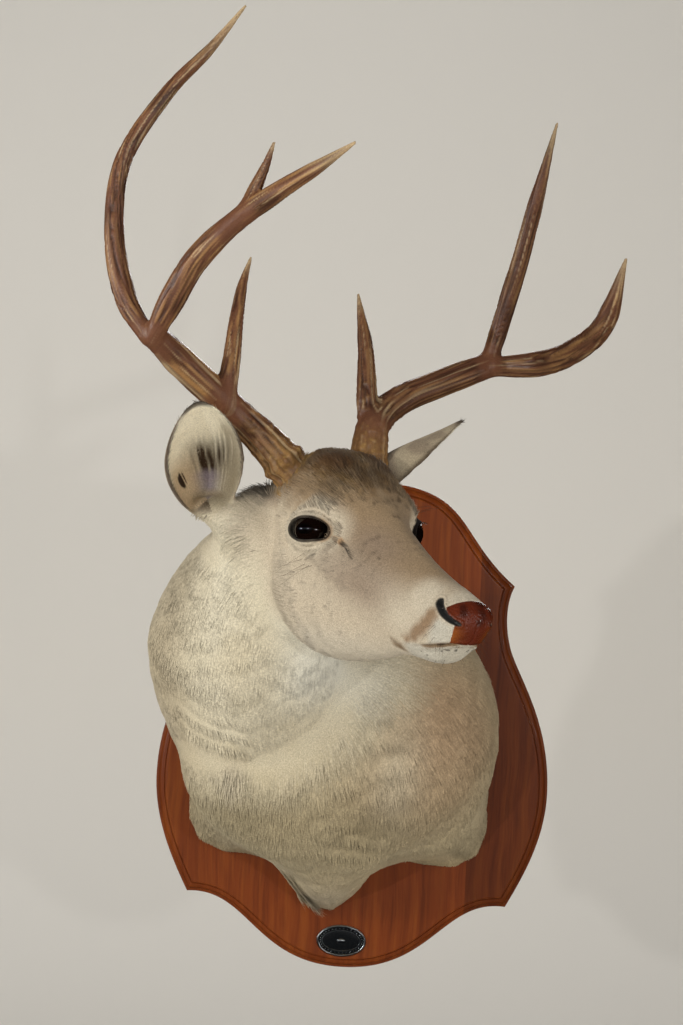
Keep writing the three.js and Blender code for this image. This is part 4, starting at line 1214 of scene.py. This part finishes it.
def sizes_at(points, normals):
    """The length, width and standing height of the locks, and how thickly they grow."""
    head, trunk, ears = regions(points)
    x, y, z = in_head(points).T
    face = smoothstep(-70, 150, x) * head
    long = 19 + 2 * trunk - 15 * face ** 0.7
    wide = 0.95 + 0.05 * trunk - 0.38 * face
    crown = smoothstep(20, -30, x) * smoothstep(28, 44, z) * head
    high = 0.65 + 0.1 * trunk - 0.1 * smoothstep(-80, -10, x) * head + 3.2 * crown
    long = long + (14 - long) * crown
    for at, _ in EAR_FLOORS:
        long = long + (7 - long) * smoothstep(38, 24, np.linalg.norm(points - at, axis=1)) * (1 - crown)
    tuft = blob(points, (-123, -258, -27), (15, 40, 11))
    high += 3.2 * tuft
    thick = np.ones(len(points))
    mirrored = np.c_[x, np.abs(y), z]
    bare = (pad_share(mirrored) > 0.3) & (x > 120)
    away, share = line_distance(mirrored, NOSTRIL)
    bare |= away < nostril_width(share) * 1.6
    _, _, _, off = eye_plane(mirrored)
    bare |= off < 2.4
    bare |= (line_distance(mirrored, MOUTH)[0] < 1.3) & (x > 100)
    bare |= (line_distance(mirrored, TEAR_DUCT)[0] < 1.6)
    shrink = smoothstep(2, 14, off) * 0.6 + 0.4
    long, wide = long * shrink, wide * (0.5 + 0.5 * shrink)
    for name, weight in ears.items():
        share, out, _ = ear_place(points, name)
        inside = smoothstep(0.15, -0.15, (normals * out).sum(axis=1))
        reach = np.maximum(weight, thin_ear(points, name) * smoothstep(-0.02, 0.1, share))
        long += (5 + 3 * inside * smoothstep(0.35, 0.6, share) - long) * reach
        wide += (0.8 - wide) * reach
        high += (0.6 + 0.7 * inside - high) * reach
        bare |= (reach > 0.5) & (inside > 0.5) & (share < 0.2)
    hem = smoothstep(-60, -24, points[:, 1])
    long = long + 3 * hem
    high += 0.9 * hem
    thick *= ~bare & (points[:, 1] < -22.5)
    return long, wide, high, thick


def hair_roots(chosen, number):
    """Places spread evenly over the chosen triangles of the skin, with the skin's normals there."""
    corners = skin_triangles[chosen]
    a, b, c = (skin_points[corners[:, i]] for i in range(3))
    area = np.linalg.norm(np.cross(b - a, c - a), axis=1)
    middles = (a + b + c) / 3
    middle_normals = unit(skin_normals[corners].sum(axis=1))
    long, wide, _, thick = sizes_at(middles, middle_normals)
    weight = area * thick / (long * wide) ** 0.5
    order = np.lexsort((middles[:, 0], np.round(middles[:, 1] / 5), np.round(middles[:, 2] / 5)))
    total = np.cumsum(weight[order])
    picks = (np.arange(number) + rng.random(number)) / number * total[-1]
    chosen_triangles = order[np.searchsorted(total, picks)]
    first, second = rng.random(number), rng.random(number)
    over = first + second > 1
    first[over], second[over] = 1 - first[over], 1 - second[over]
    shares = np.stack([1 - first - second, first, second], axis=1)[:, :, None]
    roots = (skin_points[corners[chosen_triangles]] * shares).sum(axis=1)
    normals = unit((skin_normals[corners[chosen_triangles]] * shares).sum(axis=1))
    return roots, normals


# One lock: where each of its corners stands along it, across it and above it, and the corners of its
# faces. On the face and ears it is one ring and a point; elsewhere two rings and a point.
SHORT = (np.array([(0, -1, 0), (0, 1, 0), (0, 0, 0.5), (1, 0, 0)]),
         np.array([(0, 2, 1), (0, 3, 2), (2, 3, 1), (1, 3, 0)]))
LONG = (np.array([(0, -1, 0), (0, 1, 0), (0, 0, 0.5), (0.5, -0.95, 0), (0.5, 0.95, 0), (0.5, 0, 0.5),
                  (1, 0, 0)]),
        np.array([(0, 2, 1), (0, 3, 5), (0, 5, 2), (2, 5, 4), (2, 4, 1), (1, 4, 3), (1, 3, 0),
                  (3, 6, 5), (5, 6, 4), (4, 6, 3)]))


def locks(roots, normals, form):
    """The corners of every lock, and the way each faces: nearly the skin's own, so the coat looks soft."""
    number = len(roots)
    ways = lie_of_coat(roots, normals)
    long, wide, high, _ = sizes_at(roots, normals)
    long = long * (0.8 + 0.4 * rng.random(number))
    wide = wide * (0.7 + 0.6 * rng.random(number)) / 2
    high = high * (0.5 + 0.8 * rng.random(number))
    room = (-PANEL_FRONT - BOARD_GAP - roots[:, 1]) / np.maximum(ways[:, 1], 0.02)
    long = np.minimum(long, np.maximum(room, SHORTEST))
    bend = (rng.random(number) - 0.5) * 0.2 * long
    across = np.cross(normals, ways)
    along, over, above = form.T
    rise = np.where(along == 0, 0, np.where(along < 1, 1.0, 0.65))
    steps = (long[:, None] * along, bend[:, None] * along ** 2 + wide[:, None] * over,
             high[:, None] * rise - SUNK + wide[:, None] * above)
    corners = roots[:, None] + sum(step[:, :, None] * way[:, None]
                                   for step, way in zip(steps, (ways, across, normals)))
    facing = (normals[:, None] + 0.24 * over[None, :, None] * across[:, None]
              + 0.12 * along[None, :, None] * ways[:, None])
    return corners, unit(facing)


def add_coat(name, roots, normals, chart, lock, material):
    """One joined mesh of locks, coloured as the skin at their roots."""
    form, pattern = lock
    corners, facing = locks(roots, normals, form)
    number, size = corners.shape[:2]
    faces = (pattern[None] + (np.arange(number) * size)[:, None, None]).reshape(-1, 3)
    head, _, _ = regions(roots)
    _, top = head_colours(roots)
    grain = 0.6 + 0.4 * noise(roots, 20, 34)
    streak = 1 + 0.09 * (rng.random(number) * 2 - 1) + 0.04 * noise(roots, 9, 33)
    ticked = head * (1 if len(form) == len(SHORT[0]) else 0.25)
    streak += ticked * (0.16 + 0.42 * top * grain) * noise(roots, 2.0, 35)
    streak *= np.where(rng.random(number) < (0.1 + 0.3 * top) * ticked, HAIR_DARK, 1)
    along = 0.94 + 0.1 * form[:, 0]
    colours = coat_colours(roots, normals)[:, None] * streak[:, None, None] * along[None, :, None]
    piece = add_piece(name, corners.reshape(-1, 3), faces, material)
    give_colours(piece, np.clip(colours.reshape(-1, 3), 0, 1))
    layer = piece.data.uv_layers.new(name="OFBake")
    spread = np.c_[0.5 + 0.5 * form[:, 1], form[:, 0]]
    placed = chart[:, None] + (spread[None] - 0.5) * PATCH
    layer.data.foreach_set("uv", placed.reshape(-1, 2)[faces.ravel()].astype(np.float32).ravel())
    piece.data.normals_split_custom_set_from_vertices(facing.reshape(-1, 3))
    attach(piece, "root")


def unrolled(roots, middle, axis, start):
    """The skin rolled out flat round an axis: the turn round it and the way along it."""
    axis = unit(np.array(axis, float))
    start = np.array(start, float)
    start = unit(start - axis * (start @ axis))
    from_middle = roots - np.array(middle)
    turn = np.arctan2(from_middle @ np.cross(axis, start), from_middle @ start)
    return np.stack([turn, from_middle @ axis], axis=1)


def fitted(chart):
    low, high = chart.min(axis=0), chart.max(axis=0)
    return 0.01 + 0.98 * (chart - low) / (high - low)


def grow_coat():
    hair = grained_material("hair", 520.0, 0.85, 0.4, roughness=0.62, sheen_weight=0.05,
                            specular_ior_level=0.2)
    middles = skin_points[skin_triangles].mean(axis=1)
    head, trunk, ears = regions(middles)
    on_face = (head > 0.5) & (in_head(middles)[:, 0] > -25)
    where = {"ears": np.maximum(ears["left"], ears["right"]) > 0.5, "face": on_face, "trunk": trunk > 0.5,
             "neck": ~on_face}
    axes = {
        "face": (from_head(np.array([0, 0, -20])), HEAD_AXES[:, 0], -HEAD_AXES[:, 2]),
        "neck": (NECK_LINE[3], (0.1, -0.5, 0.86), (0.6, 0.5, 0)),
        "trunk": (TRUNK_MIDDLE + (0, -100, 0), (0, -1, 0), (0, 0, 1)),
    }
    taken = bare_faces.copy()
    for name, chosen in where.items():
        roots, normals = hair_roots(chosen & ~taken, LOCKS[name])
        taken |= chosen
        lock = SHORT if name in ("face", "ears") else LONG
        if name == "ears":
            nearest = np.argmax([ear_weight(roots, side) for side in EARS], axis=0)
            for number, side in enumerate(EARS):
                mine = nearest == number
                share, out, _ = ear_place(roots[mine], side)
                _, _, _, front, across = ear_frame(side)
                inside = (normals[mine] * out).sum(axis=1) < 0
                turn = np.arctan2(out @ across, -(out @ front)) + inside * 2 * np.pi
                chart = fitted(np.stack([turn, share], axis=1))
                add_coat(f"coat_ear_{side}", roots[mine], normals[mine], chart, lock, hair)
            continue
        chart = unrolled(roots, *axes[name])
        pieces = int(np.ceil(len(roots) * len(lock[1]) / PIECE_LIMIT))
        edges = np.quantile(chart[:, 0], np.linspace(0, 1, pieces + 1)[1:-1])
        sector = np.searchsorted(edges, chart[:, 0])
        for number in range(pieces):
            mine = sector == number
            add_coat(f"coat_{name}_{number + 1}", roots[mine], normals[mine], fitted(chart[mine]), lock,
                     hair)


grow_coat()

# ---------------------------------------------------------------- whiskers and lashes
# Long dark bristles stand out singly on the lips, chin and below the eye, and a row of lashes hangs
# over the eye from the upper lid. They are the animal's own.

BRISTLE_COLOUR = "#3a2d22"
BRISTLES = (                              # where on the face (its left side), spread, how many, how long, way
    ((168, 18, -30), (7, 5, 4), 5, 12, (0.75, 0.5, -0.5)),
    ((160, 12, -50), (9, 7, 4), 3, 8, (0.5, 0.6, -0.8)),
    ((158, 27, -20), (8, 3, 7), 6, 13, (0.4, 1, -0.35)),
    ((0, 58, -30), (12, 3, 5), 5, 34, (-0.5, 0.75, -0.9)),
    ((2, 52, 24), (9, 3, 3), 4, 24, (0.3, 0.9, 0.6)),
)
LASHES, LASH_LENGTH = 30, 5.5


def hair_spike(root, way, length, droop, radius=0.17, steps=4):
    """A thin tapering bristle with a slight bend."""
    way = unit(np.array(way, float))
    first = unit(np.cross(way, (0.2, 0.1, 0.97)))
    second = np.cross(way, first)
    rings = []
    for share in np.linspace(0, 1, steps):
        middle = root + way * length * share + np.array([0, 0, -droop]) * share ** 2
        width = radius * (1 - 0.8 * share)
        rings.append(middle + width * np.stack([first, -0.5 * first + 0.866 * second,
                                                -0.5 * first - 0.866 * second]))
    faces = []
    for a, b, c, d in stacked(rings):
        faces += [(a, b, c), (a, c, d)]
    faces += [(2, 1, 0), (len(rings) * 3 - 3, len(rings) * 3 - 2, len(rings) * 3 - 1)]
    return np.concatenate(rings), np.array(faces)


def make_bristles():
    skin_tree = KDTree(len(skin_points))
    for i, point in enumerate(skin_points):
        skin_tree.insert(point, i)
    skin_tree.balance()
    spikes = []
    for middle, spread, number, length, way in BRISTLES:
        for side in (-1, 1):
            for _ in range(number):
                wanted = np.array(middle) + (rng.random(3) - 0.5) * 2 * np.array(spread)
                _, nearest, _ = skin_tree.find(from_head(wanted * (1, side, 1)))
                aim = unit(np.array(way) + (rng.random(3) - 0.5) * 0.5) * (1, side, 1)
                root = skin_points[nearest] - skin_normals[nearest] * SUNK
                spikes.append(hair_spike(root, aim @ HEAD_AXES.T, length * (0.6 + 0.6 * rng.random()), 3))
    for side in (-1, 1):
        for share in np.linspace(-0.8, 0.85, LASHES):
            along = OPENING[0] * share
            above = OPENING[1] * (1 - abs(share) ** OPENING_SQUARENESS) ** (1 / OPENING_SQUARENESS) + 0.4
            above -= 1.8 * smoothstep(6, 22, along)
            out = np.sqrt((EYE_RADIUS + LID_THICK) ** 2 - min(along ** 2 + above ** 2, 250)) + 0.3
            root = EYE_AT + along * EYE_FORWARD + above * EYE_UP + out * EYE_OUT
            aim = unit(EYE_OUT + EYE_UP * (0.15 + 0.2 * rng.random()) + EYE_FORWARD * (0.5 * share + 0.15)
                       + (rng.random(3) - 0.5) * 0.15)
            spikes.append(hair_spike(from_head(root * (1, side, 1)), (aim * (1, side, 1)) @ HEAD_AXES.T,
                                     LASH_LENGTH * (0.7 + 0.5 * rng.random()), 2.5, 0.2))
    return joined(spikes)


bristle, _ = new_material("bristle", base_color=(*paint(BRISTLE_COLOUR), 1), roughness=0.5)
whiskers = add_piece("whiskers_and_lashes", *make_bristles(), bristle)
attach(whiskers, "root")

# ---------------------------------------------------------------- room
# A pale seamless sweep stands behind and below the mount; seen from behind, it isn't there.
# Soft lamps light it, mostly from the front. Only the spots and the lamp behind show in the glass,
# the varnish and the wet nose.

FLOOR_Z = -0.75
SWEEP_BACK = 1.6
SWEEP_CURVE = 0.6
LAMPS_AIM = (0, -0.2, 0.1)
SPOTS = ((-2.2, 0.95, 13), (-1.2, 2.4, 12), (0.75, 2.55, 8), (2.0, 1.2, 3))   # across, out, power
SPOT_HEIGHT, SPOT_BREADTH = 0.27, 0.07
WORLD_STRENGTH = 0.26


def sweep_material():
    material, shader = new_material("sweep", base_color=(*paint("#e2ded6"), 1), roughness=0.9)
    tree = material.node_tree
    clear = add_node(tree, "BsdfTransparent")
    behind = add_node(tree, "NewGeometry").outputs["Backfacing"]
    both = add_node(tree, "MixShader", {0: behind, 1: shader.outputs[0], 2: clear.outputs[0]})
    tree.links.new(both.outputs[0], tree.nodes["Material Output"].inputs["Surface"])
    return material


def sweep_points(half_breadth=6, front=-6, top=4, steps=16):
    bend = np.linspace(0, np.pi / 2, steps)
    y = np.r_[front, SWEEP_BACK - SWEEP_CURVE + SWEEP_CURVE * np.sin(bend), SWEEP_BACK]
    z = np.r_[FLOOR_Z, FLOOR_Z + SWEEP_CURVE * (1 - np.cos(bend)), top]
    return [np.c_[np.full(len(y), x), y, z] / MM for x in (-half_breadth, half_breadth)]


left, right = sweep_points()
strip = len(left)
sweep = add_piece("sweep", np.concatenate([left, right]),
                  [(i, strip + i, strip + i + 1, i + 1) for i in range(strip - 1)], sweep_material())
sweep.visible_glossy = False


def lamp(name, at, across, power, warmth="#ffffff", high=None, shines=True):
    light = bpy.data.lights.new(name, "AREA")
    light.shape = "RECTANGLE" if high else "DISK"
    light.size = across
    if high:
        light.size_y = high
    light.energy = power
    light.color = paint(warmth)
    lamp_object = bpy.data.objects.new(name, light)
    lamp_object.location = at
    lamp_object.rotation_euler = (Vector(LAMPS_AIM) - Vector(at)).to_track_quat("-Z", "Y").to_euler()
    bpy.context.scene.collection.objects.link(lamp_object)
    lamp_object.visible_glossy = shines


lamp("key", (-2.0, -2.0, 0.9), 0.35, 28, "#fffcf6", high=1.3, shines=False)
lamp("side", (1.5, -1.8, -0.3), 0.9, 13, "#fff6ea", shines=False)
for number, (across, out, power) in enumerate(SPOTS):
    lamp(f"spot_{number + 1}", (across, -out, SPOT_HEIGHT), SPOT_BREADTH, power)
lamp("overhead", (0, -0.5, 2.4), 1.4, 11, shines=False)
lamp("behind", (0.4, 2.6, 1.2), 1.6, 40)

world = bpy.data.worlds.new("studio")
world.use_nodes = True
world.node_tree.nodes["Background"].inputs["Color"].default_value = (*paint("#e9ebee"), 1)
world.node_tree.nodes["Background"].inputs["Strength"].default_value = WORLD_STRENGTH
world.cycles_visibility.glossy = False
bpy.context.scene.world = world
bpy.context.scene.view_settings.view_transform = "Standard"

# ---------------------------------------------------------------- camera
# It stands two metres out from the wall at the height of the mount's middle, leaning slightly.

CAMERA_AT = (-0.028, -2.0, 0.240)
CAMERA_LEAN = np.radians(3)
CAMERA_LENS = 61.3

camera_data = bpy.data.cameras.new("camera")
camera_data.lens = CAMERA_LENS
camera_data.sensor_width = 36
camera = bpy.data.objects.new("camera", camera_data)
lean_sin, lean_cos = np.sin(CAMERA_LEAN), np.cos(CAMERA_LEAN)
camera.matrix_world = Matrix(((lean_cos, -lean_sin, 0, CAMERA_AT[0]), (0, 0, -1, CAMERA_AT[1]),
                              (lean_sin, lean_cos, 0, CAMERA_AT[2]), (0, 0, 0, 1)))
bpy.context.scene.collection.objects.link(camera)
bpy.context.scene.camera = camera
